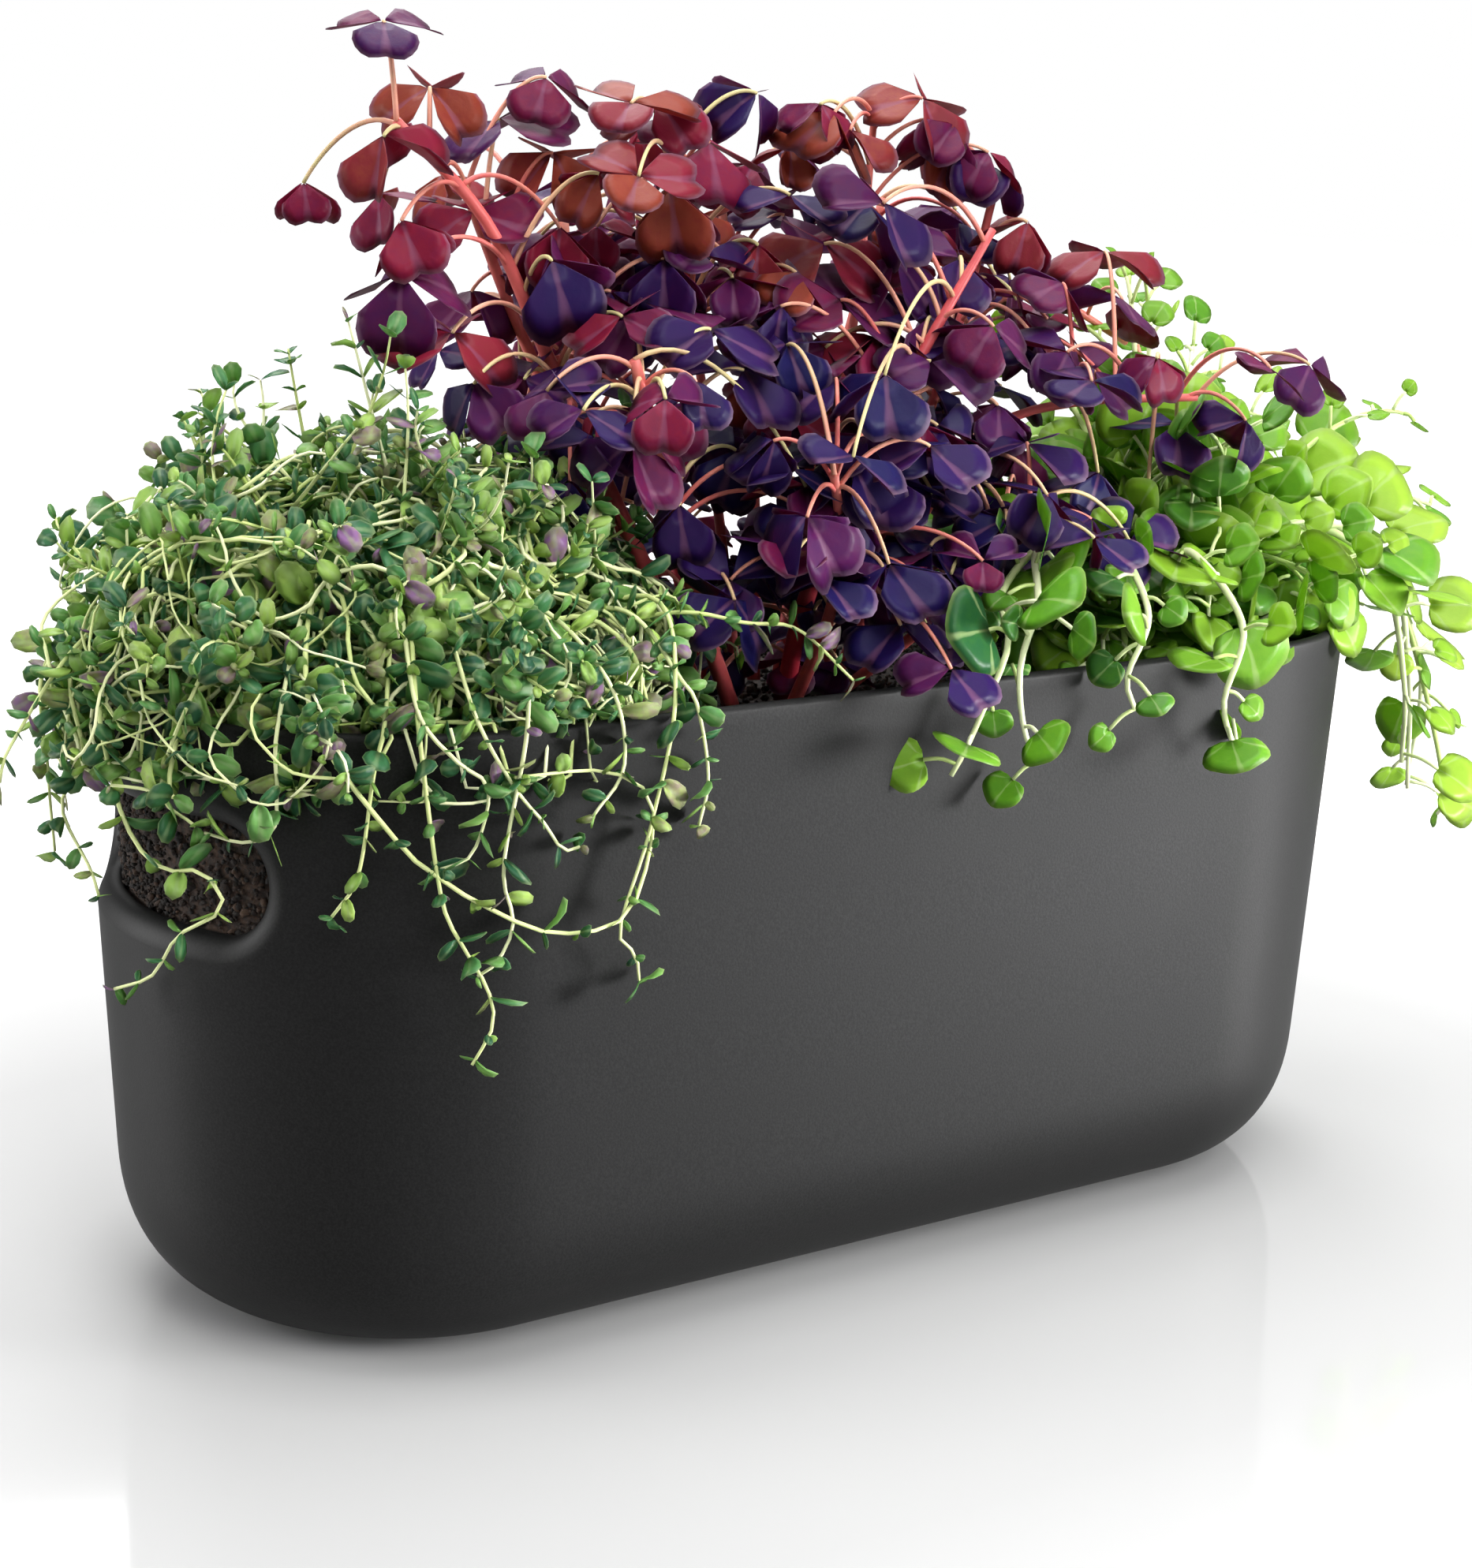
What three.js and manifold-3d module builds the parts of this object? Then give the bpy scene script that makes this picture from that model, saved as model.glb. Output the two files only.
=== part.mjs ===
// A self-watering herb planter: an oblong pot with two grips, a reservoir under a lift-out tray, three
// wicks, a bed of potting soil and three herbs. Millimetres, +Z up. The origin is on the ground, under
// the middle of the pot. +X runs along the pot and -Y is its front.

import * as THREE from 'three';
import { mergeVertices } from 'three/addons/utils/BufferGeometryUtils.js';
import Module from 'manifold-3d';

const wasm = await Module();
wasm.setup();

// Outer pot
const potLength = 336;
const potWidth = 138;
const potHeight = 145;
const potWall = 3;
const potFloor = 4.2;
const endLean = 6;
const sideLean = 3;
const baseRoundWidth = 33;
const baseRoundHeight = 35;
const baseRoundPower = 2.4;

// Grips: a long slot round each end, with an edge that rolls inwards to a lip
const gripSpan = 94;
const gripHeight = 25;
const gripBelowRim = 34;
const gripRoll = 5;
const gripLipDepth = 6;
const gripLand = 1.4;
const gripRollSweep = 65;

// Base pad
const padThickness = 2;
const padRecess = 1.2;
const padMargin = 7;
const padEdge = 0.5;

// Tray and what hangs from it
const reservoirDepth = 38;
const trayDepth = 49;
const trayWall = 1.8;
const trayFloor = 2;
const trayRound = 8;
const herbSpacing = 106;
const dividerHeight = 12;
const dividerThickness = 1.6;
const legSpan = 12;
const legRib = 2;
const legRow = 20;
const legRun = 110;
const ribWidth = 2;
const ribRun = 76;
const ribHeight = 34;
const ribBelowTrayRim = 6;
const slotLength = 15;
const slotWidth = 3;
const slotCircle = 31;
const slotCount = 5;
const collarDepth = 13;
const collarWall = 1.8;

// Wicks
const wickDiameter = 10;
const wickReach = 24;
const wickChamfer = 1;

// Soil
const soilBelowRim = 17;
const soilEdge = 3;

// Herbs. Their places are given in hundredths of the reach.
const herbReach = 100;
const herbLean = 3;
const moundBelowRim = 4;
const moundPower = 2.5;
const moundLumps = 0.06;
const thymeMoundLength = 152;
const thymeMoundWidth = 150;
const thymeMoundHeight = 58;
const thymeStem = 0.9;
const thymeLeaf = 10;
const thymeSprigs = 5;
const thymeSpread = 8;
const oxalisCrown = 26;
const oxalisStem = 2.1;
const oxalisStalk = 0.8;
const oxalisRounds = 3;
const stalksFrom = 0.42;
const stalkShort = 12;
const stalkLong = 34;
const stalkDrop = 14;
const stalkRise = 16;
const stalkPulls = [[0.35, 0.38], [0.8, 0.2]];
const trefoilLean = 0.55;
const trefoilScatter = 0.3;
const oxalisLeaflet = 15.5;
const oxalisHub = 1.6;
const oxalisFold = 0.3;
const cressMoundLength = 134;
const cressMoundWidth = 148;
const cressMoundHeight = 65;
const cressStem = 1.2;
const cressLeaf = 18;
const cressShoots = 5;
const cressSpread = 12;
const cressOffset = 12;
const leafThickness = 0.9;
const leafCup = 0.15;
const leafSpacing = 0.75;
const trefoilSpacing = 0.4;
const coneRadius = 40;
const coneFoot = 20;
const coneSpread = 0.6;
const frontGapLeft = -24;
const frontGapRight = 0;

// Clearances
const seatGap = 0.3;
const wickClearance = 0.3;
const trayClearance = 1;
const ribClearance = 0.5;
const soilClearance = 0.6;
const foliageClearance = 1.2;

// Facets
const endSteps = 16;
const baseSteps = 6;
const trayRoundSteps = 2;
const rimSteps = 4;
const gripSteps = 3;
const roundSteps = 14;
const moundStart = -Math.PI / 5;
const moundTurns = 18;
const moundLevels = 7;
const sprigSteps = 5;
const shootSteps = 5;
const stalkSteps = 2;
const stemSides = 3;
const weldDistance = 0.001;

// Levels and insets that follow from the sizes above
const baseLevel = padThickness - padRecess;
const floorLevel = baseLevel + potFloor;
const gripLevel = potHeight - gripBelowRim;
const trayLevel = floorLevel + reservoirDepth;
const trayTop = trayLevel + trayDepth;
const trayInset = gripLipDepth + trayClearance;
const soilInset = gripLipDepth + soilClearance;
const soilBottom = trayLevel + trayFloor + seatGap;
const soilTop = potHeight - soilBelowRim;
const plantLevel = soilTop + seatGap;
const wickRadius = wickDiameter / 2;
const wickTop = trayLevel + trayFloor + wickReach;
const herbPlaces = [-herbSpacing, 0, herbSpacing];
const moundLevel = potHeight - moundBelowRim;
const thymeMound = {
  middle: new THREE.Vector3(-herbSpacing, -herbLean, moundLevel),
  radii: [thymeMoundLength / 2, thymeMoundWidth / 2, thymeMoundHeight],
};
const cressMound = {
  middle: new THREE.Vector3(herbSpacing + cressOffset, -herbLean, moundLevel),
  radii: [cressMoundLength / 2, cressMoundWidth / 2, cressMoundHeight],
};

// Leaves and shoots follow each other round a plant by the golden angle
const GOLDEN_TURN = Math.PI * (3 - Math.sqrt(5));

// Turns a closed geometry into a solid that can be joined and cut.
function toSolid(geometry) {
  const bare = geometry.clone();
  bare.deleteAttribute('normal');
  bare.deleteAttribute('uv');
  const merged = mergeVertices(bare, 1e-4);
  const vertProperties = new Float32Array(merged.attributes.position.array);
  const triVerts = new Uint32Array(merged.index.array);
  return new wasm.Manifold(new wasm.Mesh({ numProp: 3, vertProperties, triVerts }));
}

// A solid's skin. Corners that fall together are merged, and the triangles that this leaves empty, or
// folded flat on each other, are left out.
function toGeometry(solid) {
  const mesh = solid.getMesh();
  const raw = new THREE.BufferGeometry();
  raw.setAttribute('position', new THREE.BufferAttribute(mesh.vertProperties, 3));
  raw.setIndex(new THREE.BufferAttribute(mesh.triVerts, 1));
  const geometry = mergeVertices(raw, weldDistance);
  const kept = new Map();
  for (let i = 0; i < geometry.index.count; i += 3) {
    const corners = Array.from(geometry.index.array.slice(i, i + 3));
    const key = [...corners].sort((p, q) => p - q).join();
    if (kept.has(key)) {
      kept.delete(key);
    } else if (new Set(corners).size === 3) {
      kept.set(key, corners);
    }
  }
  geometry.setIndex([...kept.values()].flat());
  geometry.computeVertexNormals();
  return geometry;
}

function joinAll(solids) {
  return wasm.Manifold.union(solids);
}

// Joins rings of equally many points into one closed skin. The first and the last ring are closed by a
// strip between their two halves, so that a cap follows a ring that is bent.
function loft(rings) {
  const count = rings[0].length;
  const indices = [];
  for (let r = 0; r + 1 < rings.length; r += 1) {
    for (let i = 0; i < count; i += 1) {
      const j = (i + 1) % count;
      const low = r * count;
      const high = low + count;
      indices.push(low + i, low + j, high + j, low + i, high + j, high + i);
    }
  }
  const last = (rings.length - 1) * count;
  for (let k = 0; k < count / 2; k += 1) {
    const across = (count - k) % count;
    const beyond = count - k - 1;
    if (beyond !== k + 1) {
      indices.push(k, beyond, k + 1);
      indices.push(last + k, last + k + 1, last + beyond);
    }
    if (across !== k) {
      indices.push(k, across, beyond);
      indices.push(last + k, last + beyond, last + across);
    }
  }
  const geometry = new THREE.BufferGeometry().setFromPoints(rings.flat());
  geometry.setIndex(indices);
  return geometry;
}

// An oblong ring with full round ends, counter-clockwise from above.
function oblong({ length, width }, z) {
  const points = [];
  for (const side of [1, -1]) {
    for (let i = 0; i <= endSteps; i += 1) {
      const angle = Math.PI * (i / endSteps - 0.5);
      const x = side * (length - width + width * Math.cos(angle));
      points.push(new THREE.Vector3(x, side * width * Math.sin(angle), z));
    }
  }
  return points;
}

// Skins that follow the pot's outer face: how far in they lie, and the rounding down to their floor.
const potOutside = {
  inset: 0, floor: baseLevel, roundWidth: baseRoundWidth, roundHeight: baseRoundHeight, power: baseRoundPower,
};
const potInside = {
  inset: potWall,
  floor: floorLevel,
  roundWidth: baseRoundWidth - potWall,
  roundHeight: baseRoundHeight - potFloor,
  power: baseRoundPower,
};
const trayOutside = {
  inset: trayInset, floor: trayLevel, roundWidth: trayRound, roundHeight: trayRound, power: 2,
};
const trayInside = {
  inset: trayInset + trayWall,
  floor: trayLevel + trayFloor,
  roundWidth: trayRound - trayWall,
  roundHeight: trayRound - trayFloor,
  power: 2,
};
const soilInTray = {
  inset: trayInset + trayWall + seatGap,
  floor: soilBottom,
  roundWidth: trayRound - trayWall,
  roundHeight: trayRound - trayFloor,
  power: 2,
};

// Half length and half width of a skin at height z. Near its floor it tucks in on a superellipse.
function halfSizes(skin, z) {
  const lean = (potHeight - z) / (potHeight - baseLevel);
  const drop = Math.max(0, 1 - (z - skin.floor) / skin.roundHeight);
  const tuck = skin.roundWidth * (1 - (1 - drop ** skin.power) ** (1 / skin.power));
  return {
    length: potLength / 2 - endLean * lean - skin.inset - tuck,
    width: potWidth / 2 - sideLean * lean - skin.inset - tuck,
  };
}

function ringOf(skin, z) {
  return oblong(halfSizes(skin, z), z);
}

// The rings of a skin's rounding, from its floor up to where its wall runs straight.
function roundingRings(skin, steps) {
  const rings = [];
  for (let i = 0; i <= steps; i += 1) {
    const angle = (Math.PI / 2) * (i / steps);
    rings.push(ringOf(skin, skin.floor + skin.roundHeight * (1 - Math.cos(angle) ** (2 / skin.power))));
  }
  return rings;
}

// A rounded rim between an outer and an inner skin, from outside over the top to inside.
function rimRings(outside, wall, top) {
  const rings = [];
  for (let i = 0; i <= rimSteps; i += 1) {
    const angle = Math.PI * (i / rimSteps);
    const inset = outside.inset + (wall / 2) * (1 - Math.cos(angle));
    rings.push(ringOf({ ...outside, inset }, top - wall / 2 + (wall / 2) * Math.sin(angle)));
  }
  return rings;
}

// A basin: up the outside, over the rim and down the inside to its floor.
function basinRings(outside, inside, wall, top, steps) {
  return [
    ...roundingRings(outside, steps),
    ...rimRings(outside, wall, top),
    ...roundingRings(inside, steps).reverse(),
  ];
}

// A cylinder standing on z = bottom.
function pillar(radius, bottom, top, x, y) {
  const geometry = new THREE.CylinderGeometry(radius, radius, top - bottom, roundSteps);
  geometry.rotateX(Math.PI / 2);
  geometry.translate(x, y, (bottom + top) / 2);
  return toSolid(geometry);
}

function block(lengthX, lengthY, lengthZ, x, y, z) {
  const geometry = new THREE.BoxGeometry(lengthX, lengthY, lengthZ);
  geometry.translate(x, y, z);
  return toSolid(geometry);
}

// A point of the end wall: arc mm round from the middle of the end, at height z, inset mm in.
function onEnd(side, arc, z, inset) {
  const { length, width } = halfSizes(potOutside, z);
  const angle = arc / (potWidth / 2);
  const x = side * (length - width + (width - inset) * Math.cos(angle));
  return new THREE.Vector3(x, side * (width - inset) * Math.sin(angle), z);
}

// The grip's outline from its rightmost point, grown all round and laid on the end wall at an inset.
function gripRing(side, grow, inset) {
  const radius = gripHeight / 2 + grow;
  const run = gripSpan / 2 - gripHeight / 2;
  const points = [];
  for (const half of [1, -1]) {
    for (let i = 0; i <= 2 * gripSteps; i += 1) {
      const angle = Math.PI * (i / (2 * gripSteps) - 0.5);
      const arc = half * (run + radius * Math.cos(angle));
      points.push(onEnd(side, arc, gripLevel + half * radius * Math.sin(angle), inset));
    }
    for (let i = 1; i < 2 * gripSteps; i += 1) {
      const arc = half * run * (1 - i / gripSteps);
      points.push(onEnd(side, arc, gripLevel + half * radius, inset));
    }
  }
  return [...points.slice(gripSteps), ...points.slice(0, gripSteps)];
}

// The wall's thickening round a grip, which carries the rolled lip.
function gripCollar(side) {
  return toSolid(loft([
    gripRing(side, gripRoll * 0.7, gripLipDepth),
    gripRing(side, gripRoll, gripLipDepth - gripLand),
    gripRing(side, gripRoll + potWall, potWall * 0.7),
    gripRing(side, gripRoll + potWall, potWall * 0.4),
  ]));
}

// What is cut away at a grip: a straight throat that opens outwards on a roll.
function gripCutter(side) {
  const rollDepth = gripLipDepth - gripLand;
  const sweep = THREE.MathUtils.degToRad(gripRollSweep);
  const rings = [gripRing(side, 0, gripLipDepth + potWall)];
  for (let i = 0; i <= gripSteps; i += 1) {
    const angle = sweep * (i / gripSteps);
    const grow = gripRoll * ((1 - Math.cos(angle)) / (1 - Math.cos(sweep)));
    rings.push(gripRing(side, grow, rollDepth * (1 - Math.sin(angle) / Math.sin(sweep))));
  }
  rings.push(gripRing(side, 2 * gripRoll, -potWall));
  return toSolid(loft(rings));
}

function makeOuterPot() {
  const flat = halfSizes(potOutside, baseLevel);
  const recess = { length: flat.length - padMargin, width: flat.width - padMargin };
  const rings = [
    oblong(recess, baseLevel + padRecess),
    oblong(recess, baseLevel),
    ...basinRings(potOutside, potInside, potWall, potHeight, baseSteps),
  ];
  const collars = [gripCollar(1), gripCollar(-1)];
  const cutters = [gripCutter(1), gripCutter(-1)];
  return joinAll([toSolid(loft(rings)), ...collars]).subtract(joinAll(cutters));
}

function makeBasePad() {
  const flat = halfSizes(potOutside, baseLevel);
  const size = { length: flat.length - padMargin - seatGap, width: flat.width - padMargin - seatGap };
  const inner = { length: size.length - padEdge, width: size.width - padEdge };
  return toSolid(loft([oblong(inner, 0), oblong(size, padEdge), oblong(size, padThickness)]));
}

// A leg of the tray: two crossed ribs that stand on the pot's floor.
function trayLeg(x, y) {
  const height = reservoirDepth - seatGap + trayFloor / 2;
  const z = floorLevel + seatGap + height / 2;
  return block(legSpan, legRib, height, x, y, z).add(block(legRib, legSpan, height, x, y, z));
}

// A rib that keeps the tray's long side off the pot's wall.
function locatingRib(x, side) {
  const top = trayTop - ribBelowTrayRim;
  const bottom = top - ribHeight;
  const start = halfSizes(trayOutside, bottom).width - trayWall / 2;
  const depth = halfSizes(potInside, bottom).width - ribClearance - start;
  return block(ribWidth, depth, ribHeight, x, side * (start + depth / 2), (top + bottom) / 2);
}

// Drain and air slots, set round a wick like the spokes of a wheel.
function slotSpokes(x) {
  const outline = new THREE.Shape();
  const run = slotLength / 2 - slotWidth / 2;
  outline.absarc(run, 0, slotWidth / 2, -Math.PI / 2, Math.PI / 2);
  outline.absarc(-run, 0, slotWidth / 2, Math.PI / 2, (3 * Math.PI) / 2);
  const depth = 3 * trayFloor;
  const spokes = [];
  for (let i = 0; i < slotCount; i += 1) {
    const slot = new THREE.ExtrudeGeometry(outline, { depth, bevelEnabled: false, curveSegments: 3 });
    slot.translate(slotCircle, 0, 0);
    slot.rotateZ((2 * Math.PI * (i + 0.5)) / slotCount);
    slot.translate(x, 0, trayLevel - trayFloor);
    spokes.push(toSolid(slot));
  }
  return spokes;
}

function makeTray() {
  const solids = [toSolid(loft(basinRings(trayOutside, trayInside, trayWall, trayTop, trayRoundSteps)))];
  const cuts = [];
  for (const x of herbPlaces) {
    const bore = wickRadius + wickClearance;
    solids.push(pillar(bore + collarWall, trayLevel - collarDepth, trayLevel + trayFloor / 2, x, 0));
    cuts.push(pillar(bore, trayLevel - 2 * collarDepth, trayLevel + 2 * trayFloor, x, 0));
    cuts.push(...slotSpokes(x));
  }
  for (const x of [-legRun, 0, legRun]) {
    solids.push(trayLeg(x, -legRow), trayLeg(x, legRow));
  }
  for (const side of [-1, 1]) {
    const x = (side * herbSpacing) / 2;
    const span = 2 * (halfSizes(trayInside, trayLevel + trayRound).width - trayRound);
    const middle = trayLevel + (trayFloor + dividerHeight) / 2;
    solids.push(block(dividerThickness, span, dividerHeight, x, 0, middle));
    solids.push(locatingRib(side * ribRun, -1), locatingRib(side * ribRun, 1));
  }
  return joinAll(solids).subtract(joinAll(cuts));
}

// A round bar of pressed fibre with chamfered ends.
function makeWick(x) {
  const bottom = floorLevel + seatGap;
  const tip = wickRadius - wickChamfer;
  const profile = [
    new THREE.Vector2(0, bottom),
    new THREE.Vector2(tip, bottom),
    new THREE.Vector2(wickRadius, bottom + wickChamfer),
    new THREE.Vector2(wickRadius, wickTop - wickChamfer),
    new THREE.Vector2(tip, wickTop),
    new THREE.Vector2(0, wickTop),
  ];
  const bar = new THREE.LatheGeometry(profile, roundSteps);
  bar.rotateX(Math.PI / 2);
  bar.translate(x, 0, 0);
  return toSolid(bar);
}

// The soil fills the tray, spreads over its rim and ends below the pot's rim. The wicks reach into it,
// and the dividers press into its underside.
function makeSoil() {
  const ledge = trayTop + seatGap;
  const above = { ...potOutside, inset: soilInset };
  const edged = { ...potOutside, inset: soilInset + soilEdge };
  const body = toSolid(loft([
    ...roundingRings(soilInTray, trayRoundSteps),
    ringOf(soilInTray, ledge),
    ringOf(above, ledge),
    ringOf(above, soilTop - soilEdge),
    ringOf(edged, soilTop),
  ]));
  const cuts = [];
  for (const x of herbPlaces) {
    cuts.push(pillar(wickRadius + wickClearance, soilBottom - 1, wickTop + seatGap, x, 0));
  }
  for (const side of [-1, 1]) {
    const x = (side * herbSpacing) / 2;
    const height = 2 * (trayLevel + trayFloor / 2 + dividerHeight + seatGap - soilBottom);
    cuts.push(block(dividerThickness + 2 * seatGap, potWidth, height, x, 0, soilBottom));
  }
  return body.subtract(joinAll(cuts));
}

// Repeatable random numbers from 0 to 1.
function randomFrom(seed) {
  let state = seed;
  return () => {
    state = (state * 1664525 + 1013904223) % 4294967296;
    return state / 4294967296;
  };
}

function between(random, low, high) {
  return low + (high - low) * random();
}

// How far a point lies outside an oblong of the given half sizes, seen from above; negative is inside.
function beyondOblong(point, { length, width }) {
  const run = Math.max(0, Math.abs(point.x) - (length - width));
  return Math.hypot(run, point.y) - width;
}

// Whether foliage at this point stays clear of the pot, both where it is and on its way straight up.
function clearOfPot(point, margin) {
  const rim = halfSizes(potOutside, potHeight);
  const inside = halfSizes({ ...potOutside, inset: soilInset }, potHeight);
  if (point.z > potHeight + margin) {
    return true;
  }
  if (beyondOblong(point, rim) > margin) {
    return point.z > potHeight / 3;
  }
  return beyondOblong(point, inside) < -margin && point.z > soilTop + margin;
}

// The middle herb keeps to a cone that opens upwards and to a gap over the front rim.
function insideCone(point) {
  const rise = Math.max(0, point.z - soilTop - coneFoot);
  return coneRadius + coneSpread * rise - Math.hypot(point.x, point.y);
}

function inFrontGap(point) {
  const across = Math.min(point.x - frontGapLeft, frontGapRight - point.x);
  return point.y < -coneRadius / 2 ? across : -potLength;
}

// How far out of a mound grown by a margin a point lies: 1 is on its skin.
function moundShare({ middle, radii }, point, margin) {
  const offsets = point.clone().sub(middle).toArray();
  const powers = offsets.map((offset, i) => Math.abs(offset / (radii[i] + margin)) ** moundPower);
  return (powers[0] + powers[1] + powers[2]) ** (1 / moundPower);
}

// The ground of each herb. The middle one also has the air over the mounds of the other two.
const thymeGround = (point, margin) => Math.min(-insideCone(point), frontGapLeft - point.x) > margin;
const cressGround = (point, margin) => Math.min(-insideCone(point), point.x - frontGapRight) > margin;
const oxalisGround = (point, margin) => Math.max(insideCone(point), inFrontGap(point)) > margin
  || [thymeMound, cressMound].every((mound) => moundShare(mound, point, margin) > 1);

// A herb: its ground, its solids, the balls that its leaves and stems fill, and the herbs to keep off.
function newPlant(ground, solid, others) {
  return { ground, solids: [solid], leaves: [], stems: [], others };
}

// Whether a herb may have something of this radius at this point.
function mayGrow(plant, point, radius) {
  const margin = radius + foliageClearance;
  const apart = (ball) => ball.middle.distanceTo(point) > ball.radius + margin;
  const apartFrom = (other) => other.leaves.every(apart) && other.stems.every(apart);
  return plant.ground(point, margin) && clearOfPot(point, margin) && plant.others.every(apartFrom);
}

// A stem: a thin bar along a curve.
function stemAlong(curve, radius, steps) {
  const outline = [];
  for (let i = 0; i < stemSides; i += 1) {
    const angle = (2 * Math.PI * i) / stemSides;
    outline.push(new THREE.Vector2(radius * Math.cos(angle), radius * Math.sin(angle)));
  }
  const shape = new THREE.Shape(outline);
  return toSolid(new THREE.ExtrudeGeometry(shape, { steps, extrudePath: curve, bevelEnabled: false }));
}

// Leaf outlines of length 1, counter-clockwise, with their widest part across Y: a round leaf from its base
// and the outer edge of a heart-shaped leaflet.
const round = [[-0.06, 0], [0.3, -0.42], [0.88, -0.32], [0.88, 0.32], [0.3, 0.42]];
const leaflet = [[0.72, -0.44], [0.86, 0], [0.72, 0.44]];

// Two pointed leaves on opposite sides of a stem.
const pair = [
  [1, 0], [0.4, 0.28], [0.05, 0.07], [-0.05, 0.07], [-0.4, 0.28],
  [-1, 0], [-0.4, -0.28], [-0.05, -0.07], [0.05, -0.07], [0.4, -0.28],
];

// Three heart-shaped leaflets that hang by an angle from a small three-sided hub at a point. The first
// one points along a direction turned round the axis.
function trefoilAt(size, point, axis, turn, droop) {
  const first = new THREE.Vector3(0, 1, 0).cross(axis).normalize();
  const second = new THREE.Vector3().crossVectors(axis, first);
  const places = [];
  for (const half of [oxalisHub / 2, -oxalisHub / 2]) {
    for (let i = 0; i < 3; i += 1) {
      const angle = turn + (Math.PI / 3) * (2 * i + 1);
      const corner = point.clone().addScaledVector(axis, half);
      corner.addScaledVector(first, oxalisHub * Math.cos(angle));
      places.push(corner.addScaledVector(second, oxalisHub * Math.sin(angle)));
    }
  }
  const indices = [0, 1, 2, 5, 4, 3];
  for (let i = 0; i < 3; i += 1) {
    const angle = turn + (2 * Math.PI * i) / 3;
    const level = first.clone().multiplyScalar(Math.cos(angle)).addScaledVector(second, Math.sin(angle));
    const along = level.clone().multiplyScalar(Math.cos(droop)).addScaledVector(axis, -Math.sin(droop));
    const across = new THREE.Vector3().crossVectors(axis, level);
    const upward = new THREE.Vector3().crossVectors(along, across);
    const outer = places.length;
    for (const [x, y] of leaflet) {
      const place = point.clone().addScaledVector(along, size * x);
      place.addScaledVector(across, size * y * Math.cos(oxalisFold));
      places.push(place.addScaledVector(upward, size * Math.abs(y) * Math.sin(oxalisFold)));
    }
    const left = (i + 2) % 3;
    indices.push(left, outer, outer + 1, left, outer + 1, i, i, outer + 1, outer + 2);
    indices.push(left + 3, outer + 1, outer, left + 3, i + 3, outer + 1, i + 3, outer + 2, outer + 1);
    indices.push(outer, left, left + 3, i, outer + 2, i + 3);
  }
  const geometry = new THREE.BufferGeometry().setFromPoints(places);
  geometry.setIndex(indices);
  return { places, solid: toSolid(geometry) };
}

// A leaf: a thin lens on an outline, thickest at thick along it and cupped upwards, which grows from a
// point along a direction.
function leafAt(outline, thick, length, from, along, normal) {
  const cupped = ([x, y]) => new THREE.Vector3(x, y, leafCup * Math.hypot(x - thick, y));
  const points = outline.map((place) => cupped(place).multiplyScalar(length));
  const count = points.length;
  const half = leafThickness / 2;
  points.push(new THREE.Vector3(thick * length, 0, half), new THREE.Vector3(thick * length, 0, -half));
  const indices = [];
  for (let i = 0; i < count; i += 1) {
    const j = (i + 1) % count;
    indices.push(count, i, j, count + 1, j, i);
  }
  const geometry = new THREE.BufferGeometry().setFromPoints(points);
  geometry.setIndex(indices);
  const axisX = along.clone().normalize();
  const axisY = new THREE.Vector3().crossVectors(normal, axisX).normalize();
  const axisZ = new THREE.Vector3().crossVectors(axisX, axisY);
  geometry.applyMatrix4(new THREE.Matrix4().makeBasis(axisX, axisY, axisZ).setPosition(from));
  return toSolid(geometry);
}

// Grows a round leaf, unless its ground, the pot or an earlier leaf is in the way.
function growLeaf(plant, length, from, along, normal) {
  const middle = from.clone().addScaledVector(along, length / 2 / along.length());
  if (isFree(plant, middle, length / 2)) {
    plant.leaves.push({ middle, radius: length / 2 });
    plant.solids.push(leafAt(round, 1 / 3, length, from, along, normal));
  }
}

function isFree(plant, middle, radius) {
  const apart = (leaf) => leaf.middle.distanceTo(middle) > leafSpacing * (radius + leaf.radius);
  return plant.leaves.every(apart) && mayGrow(plant, middle, radius);
}

// A point of a stem on the straight between one of its steps and the step before: back is its share.
function nodeOn(curve, step, steps, back) {
  const before = curve.getPointAt((step - 1) / steps);
  return curve.getPointAt(step / steps).lerp(before, back);
}

// Grows a stem, unless any of it would leave its ground. Says whether it grew.
function growStem(plant, curve, radius, steps) {
  const checked = curve.getSpacedPoints(3 * steps).slice(2);
  const clear = checked.every((point) => mayGrow(plant, point, radius));
  if (clear) {
    plant.solids.push(stemAlong(curve, radius, steps));
    checked.forEach((point) => plant.stems.push({ middle: point, radius: 2 * radius }));
  }
  return clear;
}

// A herb's mound: a rounded body, lumpy as foliage is.
function lumpyMound({ middle, radii }, random) {
  const rings = [];
  for (let r = 0; r <= moundLevels; r += 1) {
    const rise = moundStart + ((Math.PI / 2 - moundStart) * r) / (moundLevels + 0.5);
    const ring = [];
    for (let i = 0; i < moundTurns; i += 1) {
      const turn = (2 * Math.PI * i) / moundTurns;
      const ray = new THREE.Vector3(Math.cos(turn), Math.sin(turn), Math.tan(rise));
      ray.multiply(new THREE.Vector3(...radii)).add(middle);
      const share = between(random, 1 - moundLumps, 1) / moundShare({ middle, radii }, ray, 0);
      ring.push(middle.clone().lerp(ray, share));
    }
    rings.push(ring);
  }
  return toSolid(loft(rings));
}

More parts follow.
